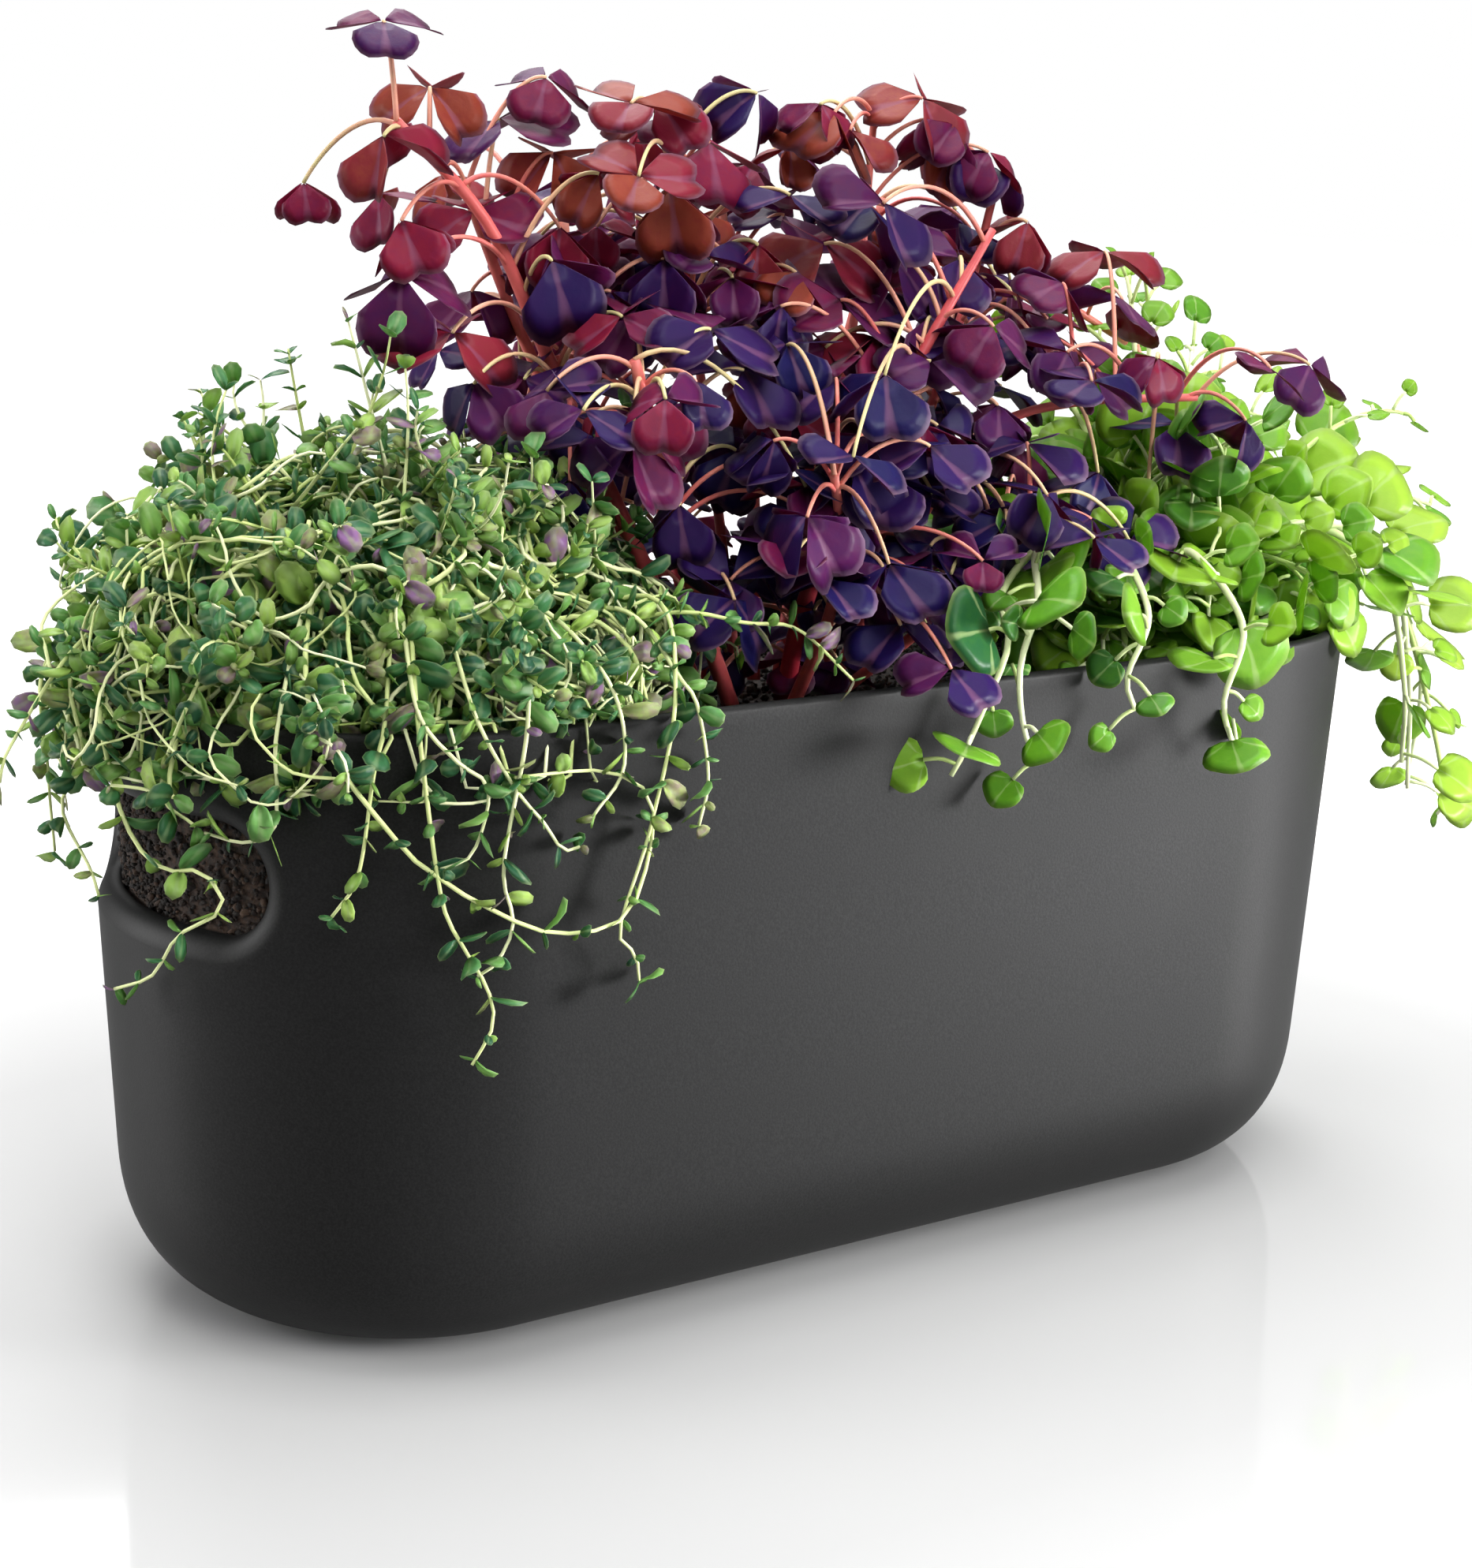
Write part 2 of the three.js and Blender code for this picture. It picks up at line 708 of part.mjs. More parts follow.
// The part of a mound over the soil that stays off the pot's rim and on its own side of the middle herb.
// Outside the rim it hangs down as far as the soil's level.
function trimMound(solid, side) {
  const tall = 2 * potHeight;
  const over = potHeight + foliageClearance;
  const opening = { ...potOutside, inset: soilInset + foliageClearance };
  const grown = { ...potOutside, inset: -foliageClearance };
  const rimZone = toSolid(loft([ringOf(grown, soilTop - 2), oblong(halfSizes(grown, potHeight), over)]))
    .subtract(toSolid(loft([ringOf(opening, soilTop - 3), oblong(halfSizes(opening, potHeight), over + 1)])));
  const radius = coneRadius + foliageClearance;
  const foot = soilTop + coneFoot;
  const profile = [
    new THREE.Vector2(0, soilTop - 1),
    new THREE.Vector2(radius, soilTop - 1),
    new THREE.Vector2(radius, foot),
    new THREE.Vector2(radius + coneSpread * (tall - foot), tall),
    new THREE.Vector2(0, tall),
  ];
  const cone = new THREE.LatheGeometry(profile, 2 * roundSteps);
  cone.rotateX(Math.PI / 2);
  const gap = side < 0 ? frontGapLeft - foliageClearance : frontGapRight + foliageClearance;
  const centre = gap + side * potLength;
  const ownSide = block(2 * potLength, 2 * potWidth, tall, centre, 0, plantLevel + tall / 2);
  return solid.intersect(ownSide).subtract(joinAll([rimZone, toSolid(cone)]));
}

// A round crown on the soil, from which the middle herb's shoots rise.
function makeCrown() {
  const profile = [
    new THREE.Vector2(0, plantLevel),
    new THREE.Vector2(oxalisCrown, plantLevel),
    new THREE.Vector2((2 * oxalisCrown) / 3, plantLevel + oxalisCrown / 5),
    new THREE.Vector2(0, plantLevel + oxalisCrown / 4),
  ];
  const crown = new THREE.LatheGeometry(profile, roundSteps);
  crown.rotateX(Math.PI / 2);
  return toSolid(crown);
}

// A curve that leaves upwards and bends over to its end.
function archingCurve(from, to, rise) {
  const up = from.clone().add(new THREE.Vector3(0, 0, rise));
  const over = from.clone().lerp(to, 0.7);
  over.z = Math.max(from.z, to.z) + rise * 0.6;
  return new THREE.CubicBezierCurve3(from, up, over, to);
}

// A point over a herb's place, in hundredths of the reach: how far to the right, how far to the back and
// how far over the rim.
function overPlace(x, place) {
  const [right, back, height] = place.map((share) => (herbReach * share) / 100);
  return new THREE.Vector3(x + right, back, potHeight + height);
}

// A point by the pot's rim, in hundredths of the reach: how far round from the middle of the front, how
// far out, and how high.
function byTheRim(place) {
  const [round, out, height] = place.map((share) => (herbReach * share) / 100);
  const rim = halfSizes(potOutside, potHeight);
  const run = rim.length - rim.width;
  const straight = Math.min(Math.abs(round), run);
  const turn = (Math.abs(round) - straight) / rim.width;
  const reach = rim.width + out;
  const x = Math.sign(round) * (straight + reach * Math.sin(turn));
  return new THREE.Vector3(x, -reach * Math.cos(turn), potHeight + height);
}

// Leaves in opposite pairs along a stem, each pair turned a quarter from the last.
function pairedLeaves(plant, curve, steps, first, spacing, random) {
  const start = between(random, 0, Math.PI);
  for (let i = steps; i >= first; i -= spacing) {
    const from = nodeOn(curve, i, steps, 0.5);
    const tangent = curve.getTangentAt(i / steps);
    const turn = start + (i * Math.PI) / 2;
    const across = new THREE.Vector3(Math.cos(turn), Math.sin(turn), between(random, -0.4, 0.4));
    across.projectOnPlane(tangent).normalize();
    const length = thymeLeaf * between(random, 0.8, 1.1);
    const middles = [1, -1].map((side) => from.clone().addScaledVector(across, (side * length) / 2));
    if (middles.every((middle) => isFree(plant, middle, length / 2))) {
      middles.forEach((middle) => plant.leaves.push({ middle, radius: length / 2 }));
      plant.solids.push(leafAt(pair, 0, length, from, across, tangent));
    }
  }
}

// Strands of thyme: they leave the mound, cross the rim and hang down outside the front or the left end.
const thymeStrands = [
  [[-121, -14, 22], [-117, 5, 8], [-108, 5, -22], [-99, 6, -46], [-103, 6, -62], [-111, 5, -70]],
  [[-134, -12, 24], [-139, 6, 4], [-127, 6, -30], [-108, 7, -42], [-88, 7, -45], [-78, 6, -30]],
  [[-94, -18, 22], [-88, 4, 10], [-80, 5, -14], [-76, 5, -36]],
  [[-72, -20, 20], [-62, 4, 10], [-55, 5, -10], [-55, 5, -28]],
  [[-62, -16, 18], [-46, -8, 16], [-34, -6, 14]],
  [[-196, -20, 26], [-203, 4, 14], [-206, 20, -8], [-206, 23, -16]],
];

// Tips of the thyme's longest sprigs, over its place.
const thymeReaches = [[-80, -22, 11], [-74, 40, 17], [-18, 8, 63], [10, -30, 53]];

// A herb's reaching shoots, from inside its mound to just over it, evenly spread as seen from its middle.
function tipsOver({ middle, radii }, count, spreadOut, lowest) {
  const tips = [];
  for (let i = 0; i < count; i += 1) {
    const turn = i * GOLDEN_TURN;
    const height = 1 - (i + 0.5) / count;
    const level = Math.sqrt(1 - height * height);
    const ray = new THREE.Vector3(level * Math.cos(turn), level * Math.sin(turn), height);
    const tip = ray.multiply(new THREE.Vector3(...radii.map((radius) => radius + spreadOut))).add(middle);
    const share = 1 / moundShare({ middle, radii }, tip, spreadOut);
    tip.sub(middle).multiplyScalar(share).add(middle);
    tip.z = Math.max(tip.z, lowest);
    tips.push(tip);
  }
  return tips;
}

function makeThyme(others) {
  const random = randomFrom(11);
  const plant = newPlant(thymeGround, trimMound(lumpyMound(thymeMound, random), -1), others);
  const { middle } = thymeMound;
  const tips = thymeReaches.map((place) => overPlace(-herbSpacing, place));
  tips.push(...tipsOver(thymeMound, thymeSprigs, thymeSpread, potHeight + thymeLeaf));
  for (const tip of tips) {
    const curve = archingCurve(middle.clone().lerp(tip, 0.6), tip, thymeSpread);
    if (growStem(plant, curve, thymeStem, sprigSteps)) {
      pairedLeaves(plant, curve, sprigSteps, sprigSteps - 1, 1, random);
    }
  }
  for (const places of thymeStrands) {
    const points = places.map(byTheRim);
    const curve = new THREE.CatmullRomCurve3([points[0].clone().lerp(middle, 0.5), ...points]);
    const steps = 2 * places.length;
    if (growStem(plant, curve, thymeStem, steps)) {
      pairedLeaves(plant, curve, steps, 2, 2, random);
    }
  }
  return plant;
}

// Shoots of oxalis: places that each passes on its way from the crown, over its place.
const oxalisShoots = [
  [[-36, -2, 20], [-59, 0, 64], [-76, 0, 96], [-100, -4, 117]],
  [[-34, 12, 25], [-58, 14, 68], [-74, 16, 105]],
  [[-9, 6, 25], [-15, 10, 70], [-24, 10, 113]],
  [[22, 8, 25], [33, 12, 76], [36, 12, 120]],
  [[0, -20, 15], [18, -28, 60], [42, -28, 96]],
  [[-33, -22, 12], [-46, -28, 42], [-57, -31, 69]],
  [[38, -9, 24], [54, -17, 48], [71, -26, 55], [98, -41, 57]],
  [[52, 20, 35], [82, 25, 72], [105, 25, 76], [134, 26, 64]],
  [[-24, 32, 25], [-33, 35, 66], [-36, 36, 95]],
  [[-8, 34, 25], [-17, 35, 67], [-21, 36, 101]],
  [[34, 30, 35], [48, 34, 71], [56, 34, 101]],
  [[46, 6, 35], [60, 4, 75], [66, 2, 103]],
  [[-36, 18, 25], [-44, 30, 70], [-52, 34, 107]],
  [[-6, -36, 11], [-12, -46, 33], [-18, -52, 45]],
  [[30, -36, 11], [38, -44, 29], [46, -50, 37]],
  [[14, 26, 31], [12, 34, 75], [8, 38, 107]],
];

// Leaf stalks that stand free: the shoot that each leaves, how far up it, and the place of its leaf.
const oxalisStalks = [
  [0, 1, [-101, 0, 137]], [0, 0.98, [-104, -6, 114]], [0, 0.93, [-88, 4, 124]], [0, 0.85, [-101, -8, 97]],
  [0, 0.72, [-102, -10, 86]], [0, 0.62, [-91, -12, 74]], [0, 0.5, [-90, -20, 64]], [1, 0.98, [-56, 10, 127]],
  [1, 0.9, [-65, 15, 118]], [1, 0.85, [-57, 5, 111]], [5, 1, [-17, -40, 41]], [5, 0.97, [-78, -30, 63]],
  [5, 0.95, [-64, -42, 53]], [2, 0.97, [-30, 5, 123]], [2, 0.92, [-50, -20, 107]], [3, 1, [19, 5, 121]],
  [3, 0.98, [45, 5, 125]], [3, 0.93, [51, 0, 119]], [3, 0.85, [58, -5, 113]], [4, 0.97, [7, -32, 102]],
  [4, 0.85, [-4, -50, 66]], [4, 0.8, [34, -40, 75]], [4, 0.7, [-19, -60, 50]], [13, 0.9, [-32, -62, 38]],
  [6, 0.4, [36, -60, 39]], [6, 0.75, [56, -50, 63]], [6, 0.98, [106, -50, 52]], [7, 0.9, [112, 4, 77]],
  [14, 0.95, [71, -50, 25]], [14, 0.8, [28, -56, 33]], [13, 0.95, [-8, -60, 26]], [14, 0.6, [16, -52, 21]],
  [13, 0.55, [-7, -64, 13]], [13, 0.45, [-5, -80, 6]],
];

// A shoot of oxalis rises from the crown and passes its places.
function oxalisShoot(shape) {
  const points = shape.map((place) => overPlace(0, place));
  const share = Math.min(0.5, (0.7 * oxalisCrown) / Math.hypot(points[0].x, points[0].y));
  const foot = points[0].clone().multiplyScalar(share);
  foot.z = plantLevel + oxalisStem;
  return new THREE.CatmullRomCurve3([foot, ...points], false, 'catmullrom', 0.5);
}

// The place of a shoot at a share of its length, on the straights between its steps.
function onShoot(shoot, share) {
  const step = Math.min(Math.floor(share * shootSteps), shootSteps - 1);
  return nodeOn(shoot, step + 1, shootSteps, 1 - (share * shootSteps - step));
}

// Numbers from 0 to 1 that are spread evenly: the fractions of the multiples of a prime's square root.
function evenly(count, prime) {
  return (count * Math.sqrt(prime)) % 1;
}

// A leaf stalk leaves a shoot upwards, arches over to its tip and carries three leaflets. The count of the
// stalks gives their lean, turn, droop and size.
function growTrefoil(plant, shoot, share, tip, count) {
  const from = onShoot(shoot, share);
  const span = from.distanceTo(tip);
  const [pull, drop] = stalkPulls.map(([along, rise]) => (
    from.clone().lerp(tip, along).add(new THREE.Vector3(0, 0, rise * span))));
  const stalk = new THREE.CubicBezierCurve3(from, pull, drop, tip);
  const side = 2 * Math.PI * evenly(count, 2);
  const scatter = new THREE.Vector3(Math.cos(side), Math.sin(side), 0).setLength(trefoilScatter);
  const axis = new THREE.Vector3(tip.x / herbSpacing, (2 * tip.y) / herbSpacing - 0.8, 0);
  axis.setLength(trefoilLean).add(scatter).setZ(1);
  const size = oxalisLeaflet * (0.85 + 0.35 * evenly(count, 3));
  const turn = 2 * Math.PI * evenly(count, 5);
  const { places, solid } = trefoilAt(size, tip, axis.normalize(), turn, 0.1 + evenly(count, 7));
  const apart = (leaf) => leaf.middle.distanceTo(tip) > trefoilSpacing * (size + leaf.radius);
  const halfway = places.map((place) => place.clone().lerp(tip, 0.5));
  const clear = [...places, ...halfway].every((place) => mayGrow(plant, place, oxalisHub / 2));
  if (clear && plant.leaves.every(apart) && growStem(plant, stalk, oxalisStalk, stalkSteps)) {
    plant.leaves.push({ middle: tip, radius: size });
    plant.solids.push(solid);
  }
}

function makeOxalis() {
  const plant = newPlant(oxalisGround, makeCrown(), []);
  const shoots = oxalisShoots.map(oxalisShoot);
  const grown = shoots.map((shoot) => growStem(plant, shoot, oxalisStem, shootSteps));
  oxalisStalks.forEach(([owner, share, place], i) => {
    if (grown[owner]) {
      growTrefoil(plant, shoots[owner], share, overPlace(0, place), i);
    }
  });
  for (let i = 0; i < oxalisRounds * shoots.length; i += 1) {
    const count = oxalisStalks.length + i;
    const shoot = shoots[i % shoots.length];
    const share = stalksFrom + (1 - stalksFrom) * evenly(count, 11);
    const turn = i * GOLDEN_TURN;
    const out = stalkShort + (stalkLong - stalkShort) * evenly(count, 13);
    const rise = (stalkRise + stalkDrop) * evenly(count, 17) - stalkDrop;
    const leap = new THREE.Vector3(out * Math.cos(turn), out * Math.sin(turn), rise);
    if (grown[i % shoots.length]) {
      growTrefoil(plant, shoot, share, shoot.getPointAt(share).add(leap), count);
    }
  }
  return plant;
}

// Tips of the longest shoots of cress, over its place, and strands that hang over the rim.
const cressReaches = [[6, 30, 81], [44, 34, 60], [100, 8, 37], [90, -24, 5], [-14, 40, 66]];
const cressStrands = [
  [[168, -16, 26], [176, 6, 20], [183, 26, -6], [186, 42, -42], [187, 48, -62]],
  [[150, -14, 24], [158, 8, 12], [163, 18, -18], [165, 20, -40]],
  [[56, -18, 20], [34, -10, 20], [26, 6, 8], [22, 8, -16]],
  [[92, -14, 22], [96, 8, 8], [98, 10, -10]],
];

// Round leaves on short stalks, in turns up a shoot, and one at its tip.
function alternateLeaves(plant, curve, steps, first, random) {
  for (let i = first; i <= steps; i += 1) {
    const from = nodeOn(curve, i, steps, 0.5);
    const tangent = curve.getTangentAt(i / steps);
    const turn = i * GOLDEN_TURN;
    const out = new THREE.Vector3(Math.cos(turn), Math.sin(turn), 0.3).projectOnPlane(tangent).normalize();
    const along = i === steps ? tangent : out.addScaledVector(tangent, 0.4);
    const up = new THREE.Vector3(0.2, -0.3, 1);
    growLeaf(plant, cressLeaf * between(random, 0.75, 1.1), from, along, up);
  }
}

function makeCress(others) {
  const random = randomFrom(37);
  const plant = newPlant(cressGround, trimMound(lumpyMound(cressMound, random), 1), others);
  const { middle } = cressMound;
  const tips = cressReaches.map((place) => overPlace(herbSpacing, place));
  tips.push(...tipsOver(cressMound, cressShoots, cressSpread, potHeight + cressLeaf));
  for (const tip of tips) {
    const curve = archingCurve(middle.clone().lerp(tip, 0.5), tip, cressSpread);
    if (growStem(plant, curve, cressStem, sprigSteps)) {
      alternateLeaves(plant, curve, sprigSteps, sprigSteps - 2, random);
    }
  }
  for (const places of cressStrands) {
    const points = places.map(byTheRim);
    const curve = new THREE.CatmullRomCurve3([points[0].clone().lerp(middle, 0.5), ...points]);
    const steps = 2 * places.length;
    if (growStem(plant, curve, cressStem, steps)) {
      alternateLeaves(plant, curve, steps, places.length, random);
    }
  }
  return plant;
}

const parts = new THREE.Group();

function addPart(name, solid, colour, roughness) {
  const material = new THREE.MeshStandardMaterial({ color: colour, roughness, metalness: 0 });
  const mesh = new THREE.Mesh(toGeometry(solid), material);
  mesh.name = name;
  parts.add(mesh);
}

addPart('outer_pot', makeOuterPot(), 0x2b2b2d, 0.55);
addPart('base_pad', makeBasePad(), 0x17181a, 0.9);
addPart('planting_tray', makeTray(), 0x3a3b3e, 0.6);
addPart('wick_left', makeWick(-herbSpacing), 0xd9d6cc, 0.95);
addPart('wick_middle', makeWick(0), 0xd9d6cc, 0.95);
addPart('wick_right', makeWick(herbSpacing), 0xd9d6cc, 0.95);
addPart('potting_soil', makeSoil(), 0x33261e, 1);

const oxalis = makeOxalis();
addPart('thyme_plant', joinAll(makeThyme([oxalis]).solids), 0x5f8a4a, 0.7);
addPart('oxalis_plant', joinAll(oxalis.solids), 0x4a1f35, 0.6);
addPart('cress_plant', joinAll(makeCress([oxalis]).solids), 0x5fa82c, 0.6);

export default parts;
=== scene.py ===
from functools import partial

import bpy
import numpy as np
from mathutils import Matrix


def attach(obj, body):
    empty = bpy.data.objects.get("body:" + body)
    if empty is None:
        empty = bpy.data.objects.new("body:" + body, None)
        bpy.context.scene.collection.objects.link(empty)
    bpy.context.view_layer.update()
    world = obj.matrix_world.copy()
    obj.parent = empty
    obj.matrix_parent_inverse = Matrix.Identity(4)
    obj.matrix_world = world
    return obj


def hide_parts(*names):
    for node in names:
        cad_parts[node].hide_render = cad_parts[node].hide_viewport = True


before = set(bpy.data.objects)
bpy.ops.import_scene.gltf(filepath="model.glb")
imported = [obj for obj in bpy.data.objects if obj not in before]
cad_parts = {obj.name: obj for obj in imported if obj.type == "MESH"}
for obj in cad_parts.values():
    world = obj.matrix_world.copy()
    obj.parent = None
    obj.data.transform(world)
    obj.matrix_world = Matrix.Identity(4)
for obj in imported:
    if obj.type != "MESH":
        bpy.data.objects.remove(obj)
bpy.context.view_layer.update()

# The looks of a self-watering herb planter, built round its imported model. Lengths are in millimetres and
# become metres where a mesh is made. X runs along the pot, -Y is its front and Z is up.
METRE = 0.001

# Pot
POT_LENGTH = 336
POT_WIDTH = 138
POT_HEIGHT = 145
POT_WALL = 3
END_LEAN = 6
SIDE_LEAN = 3
BASE_LEVEL = 0.8
FLOOR_LEVEL = 5
BASE_ROUND_WIDTH = 33
BASE_ROUND_HEIGHT = 35
BASE_ROUND_POWER = 2.4
PAD_RECESS = 1.2
PAD_MARGIN = 7

# Grips
GRIP_SPAN = 94
GRIP_HEIGHT = 25
GRIP_LEVEL = 111
GRIP_ROLL = 5
GRIP_LIP_DEPTH = 6
GRIP_LAND = 1.4
GRIP_ROLL_SWEEP = np.radians(65)
WINDOW_ARC = 61
WINDOW_RISE = 25
WINDOW_STEP = 2

# Rows and columns of the pot's skin
FLANK_COLUMNS = 14
SIDE_COLUMNS = 24
ROUND_ROWS = 22
RIM_ROWS = 11
ROLL_ROWS = 10
WALL_ROWS = np.linspace(44, 78, 5)

# Soil
SOIL_TOP = 128
SOIL_INSET = 6.6
SOIL_EDGE = 3

# Herbs
HERB_SPACING = 106
RIM_CLEARANCE = 1.6
RIM_ZONE = 9
THYME_MIDDLE = (-106, -3, 141)
THYME_RADII = (71, 66, 54)
THYME_POWER = 1.95
THYME_LEAF = 9.8
OXALIS_CROWN = 26
OXALIS_STEM = 2.1
OXALIS_ROUNDS = 12
OXALIS_LOW_ROUNDS = 3
OXALIS_LEAFLET = 15.5
TREFOIL_LEAN = 0.55
TREFOIL_SCATTER = 0.3
CRESS_MIDDLE = (114, -5, 138)
CRESS_RADII = (62, 66, 56)
CRESS_LEAF = 18


# Shapes: a surface is points in millimetres, groups of faces with equally many corners, and values that
# its material reads.

def unit(vectors):
    """Each vector divided by its length."""
    return vectors / np.maximum(np.linalg.norm(vectors, axis=-1, keepdims=True), 1e-9)


def surface(points, groups, **values):
    """A surface from its points, its groups of faces and its values."""
    return {"points": np.asarray(points, float).reshape(-1, 3), "groups": groups, "values": values}


def merged(surfaces):
    """Several surfaces as one: the corners of each count on from the points of those before it."""
    groups = []
    offset = 0
    for part in surfaces:
        groups += [group + offset for group in part["groups"]]
        offset += len(part["points"])
    keys = surfaces[0]["values"]
    values = {key: np.concatenate([part["values"][key] for part in surfaces]) for key in keys}
    return surface(np.concatenate([part["points"] for part in surfaces]), groups, **values)


def make_piece(name, shape, material, body, slot, *replaced):
    """Puts a surface into a mesh in metres and lets it ride on a body."""
    mesh = bpy.data.meshes.new(name)
    mesh.vertices.add(len(shape["points"]))
    mesh.vertices.foreach_set("co", (shape["points"] * METRE).ravel())
    corners = np.concatenate([group.ravel() for group in shape["groups"]]).astype(np.int32)
    sizes = np.concatenate([np.full(len(group), group.shape[1]) for group in shape["groups"]])
    starts = np.concatenate([[0], np.cumsum(sizes)[:-1]]).astype(np.int32)
    mesh.loops.add(len(corners))
    mesh.loops.foreach_set("vertex_index", corners)
    mesh.polygons.add(len(sizes))
    mesh.polygons.foreach_set("loop_start", starts)
    mesh.polygons.foreach_set("use_smooth", np.ones(len(sizes), bool))
    mesh.update(calc_edges=True)
    for key, numbers in shape["values"].items():
        attribute = mesh.attributes.new(key, "FLOAT", "POINT")
        attribute.data.foreach_set("value", np.asarray(numbers, np.float32))
    mesh.materials.append(material)
    piece = bpy.data.objects.new(name, mesh)
    bpy.context.scene.collection.objects.link(piece)
    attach(piece, body)
    if replaced:
        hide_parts(*replaced)
    return piece


def spline(places, count):
    """A Catmull-Rom curve through places, as count points at equal distances along it: on each stretch, the
    cubic whose slope at a place is half the way from the place before it to the one after it."""
    places = np.asarray(places, float)
    known = np.concatenate([2 * places[:1] - places[1:2], places, 2 * places[-1:] - places[-2:-1]])
    at = np.linspace(0, len(places) - 1, 16 * len(places))
    start = np.minimum(at.astype(int), len(places) - 2)
    t = (at - start)[:, None]
    a, b, c, d = (known[start + i] for i in range(4))
    fine = 0.5 * (2 * b + (c - a) * t + (2 * a - 5 * b + 4 * c - d) * t ** 2
                  + (3 * b - a - 3 * c + d) * t ** 3)
    run = np.concatenate([[0], np.cumsum(np.linalg.norm(np.diff(fine, axis=0), axis=1))])
    wanted = np.linspace(0, run[-1], count)
    return np.stack([np.interp(wanted, run, fine[:, axis]) for axis in range(3)], axis=-1)


def arcs(start, rise, over, end, count):
    """Cubic Bezier curves from start to end by the pulls rise and over, for all stems at once."""
    t = np.linspace(0, 1, count)[None, :, None]
    start, rise, over, end = (np.asarray(place, float)[:, None, :] for place in (start, rise, over, end))
    return (1 - t) ** 3 * start + 3 * t * (1 - t) ** 2 * rise + 3 * t ** 2 * (1 - t) * over + t ** 3 * end


def frames(paths):
    """Tangents along each path, and two directions across it that turn as little as they can: each is the
    one before it with its part along the tangent taken out."""
    tangent = unit(np.gradient(paths, axis=1))
    across = np.empty_like(paths)
    first = np.where(np.abs(tangent[:, 0, 2:]) > 0.9, [1.0, 0, 0], [0, 0, 1.0])
    across[:, 0] = unit(np.cross(tangent[:, 0], first))
    for k in range(1, paths.shape[1]):
        flat = (across[:, k - 1] * tangent[:, k]).sum(-1, keepdims=True) * tangent[:, k]
        across[:, k] = unit(across[:, k - 1] - flat)
    return tangent, across, np.cross(tangent, across)


def tubes(paths, radii, sides, tint):
    """Round bars carried along paths: each ring is the path's point plus its radius times the cosine and the
    sine of a full turn along the two directions across. Both ends are closed."""
    stems, steps = paths.shape[:2]
    _, across, up = frames(paths)
    turn = 2 * np.pi * np.arange(sides) / sides
    ring = across[:, :, None] * np.cos(turn)[:, None] + up[:, :, None] * np.sin(turn)[:, None]
    points = paths[:, :, None] + ring * np.broadcast_to(radii, (stems, steps))[:, :, None, None]
    index = np.arange(stems * steps * sides).reshape(stems, steps, sides)
    after = np.roll(index, -1, axis=2)
    walls = np.stack([index[:, :-1], after[:, :-1], after[:, 1:], index[:, 1:]], axis=-1).reshape(-1, 4)
    along = np.broadcast_to(np.linspace(0, 1, steps)[None, :, None], index.shape)
    tints = np.broadcast_to(np.asarray(tint, float).reshape(-1, 1, 1), index.shape)
    flat = np.zeros(index.size)
    return surface(points, [walls, index[:, 0, ::-1], index[:, -1]],
                   tint=tints.ravel(), along=along.ravel(), across=flat, rim=flat)


def leaf_plan(rows, columns, spread, reach):
    """The plan of a leaf of length 1 as a fan from its stalk: the point at row u and column v lies at u
    times reach(v) from the stalk, turned by v times spread. The upper and the lower side share the edge."""
    v = np.linspace(-1, 1, columns + 1)
    u = np.linspace(0, 1, rows + 1)[1:, None]
    far = reach(v)[None, :]
    x = u * far * np.cos(v * spread)
    y = u * far * np.sin(v * spread)
    inner = (slice(0, rows - 1), slice(1, columns))
    upper = 1 + np.arange(rows * (columns + 1)).reshape(rows, columns + 1)
    lower = upper.copy()
    lower[inner] = upper.max() + 1 + np.arange((rows - 1) * (columns - 1)).reshape(rows - 1, columns - 1)
    pole = np.zeros(columns, int)
    fans = np.stack([pole, upper[0, :-1], upper[0, 1:]], axis=-1)
    under = np.stack([pole, lower[0, 1:], lower[0, :-1]], axis=-1)
    top = np.stack([upper[:-1, :-1], upper[1:, :-1], upper[1:, 1:], upper[:-1, 1:]], axis=-1)
    bottom = np.stack([lower[:-1, :-1], lower[:-1, 1:], lower[1:, 1:], lower[1:, :-1]], axis=-1)

    def spread_out(grid):
        return np.concatenate([[0.0], grid.ravel(), grid[inner].ravel()])

    plump = (1 - u ** 2) * np.sqrt(1 - v ** 2)
    lift = np.concatenate([[0.0], plump.ravel(), -plump[inner].ravel()])
    return {
        "x": spread_out(x), "y": spread_out(y), "v": spread_out(np.broadcast_to(v, x.shape)),
        "u": spread_out(np.broadcast_to(u, x.shape)), "lift": lift,
        "faces": [np.concatenate([fans, under]), np.concatenate([top.reshape(-1, 4), bottom.reshape(-1, 4)])],
    }


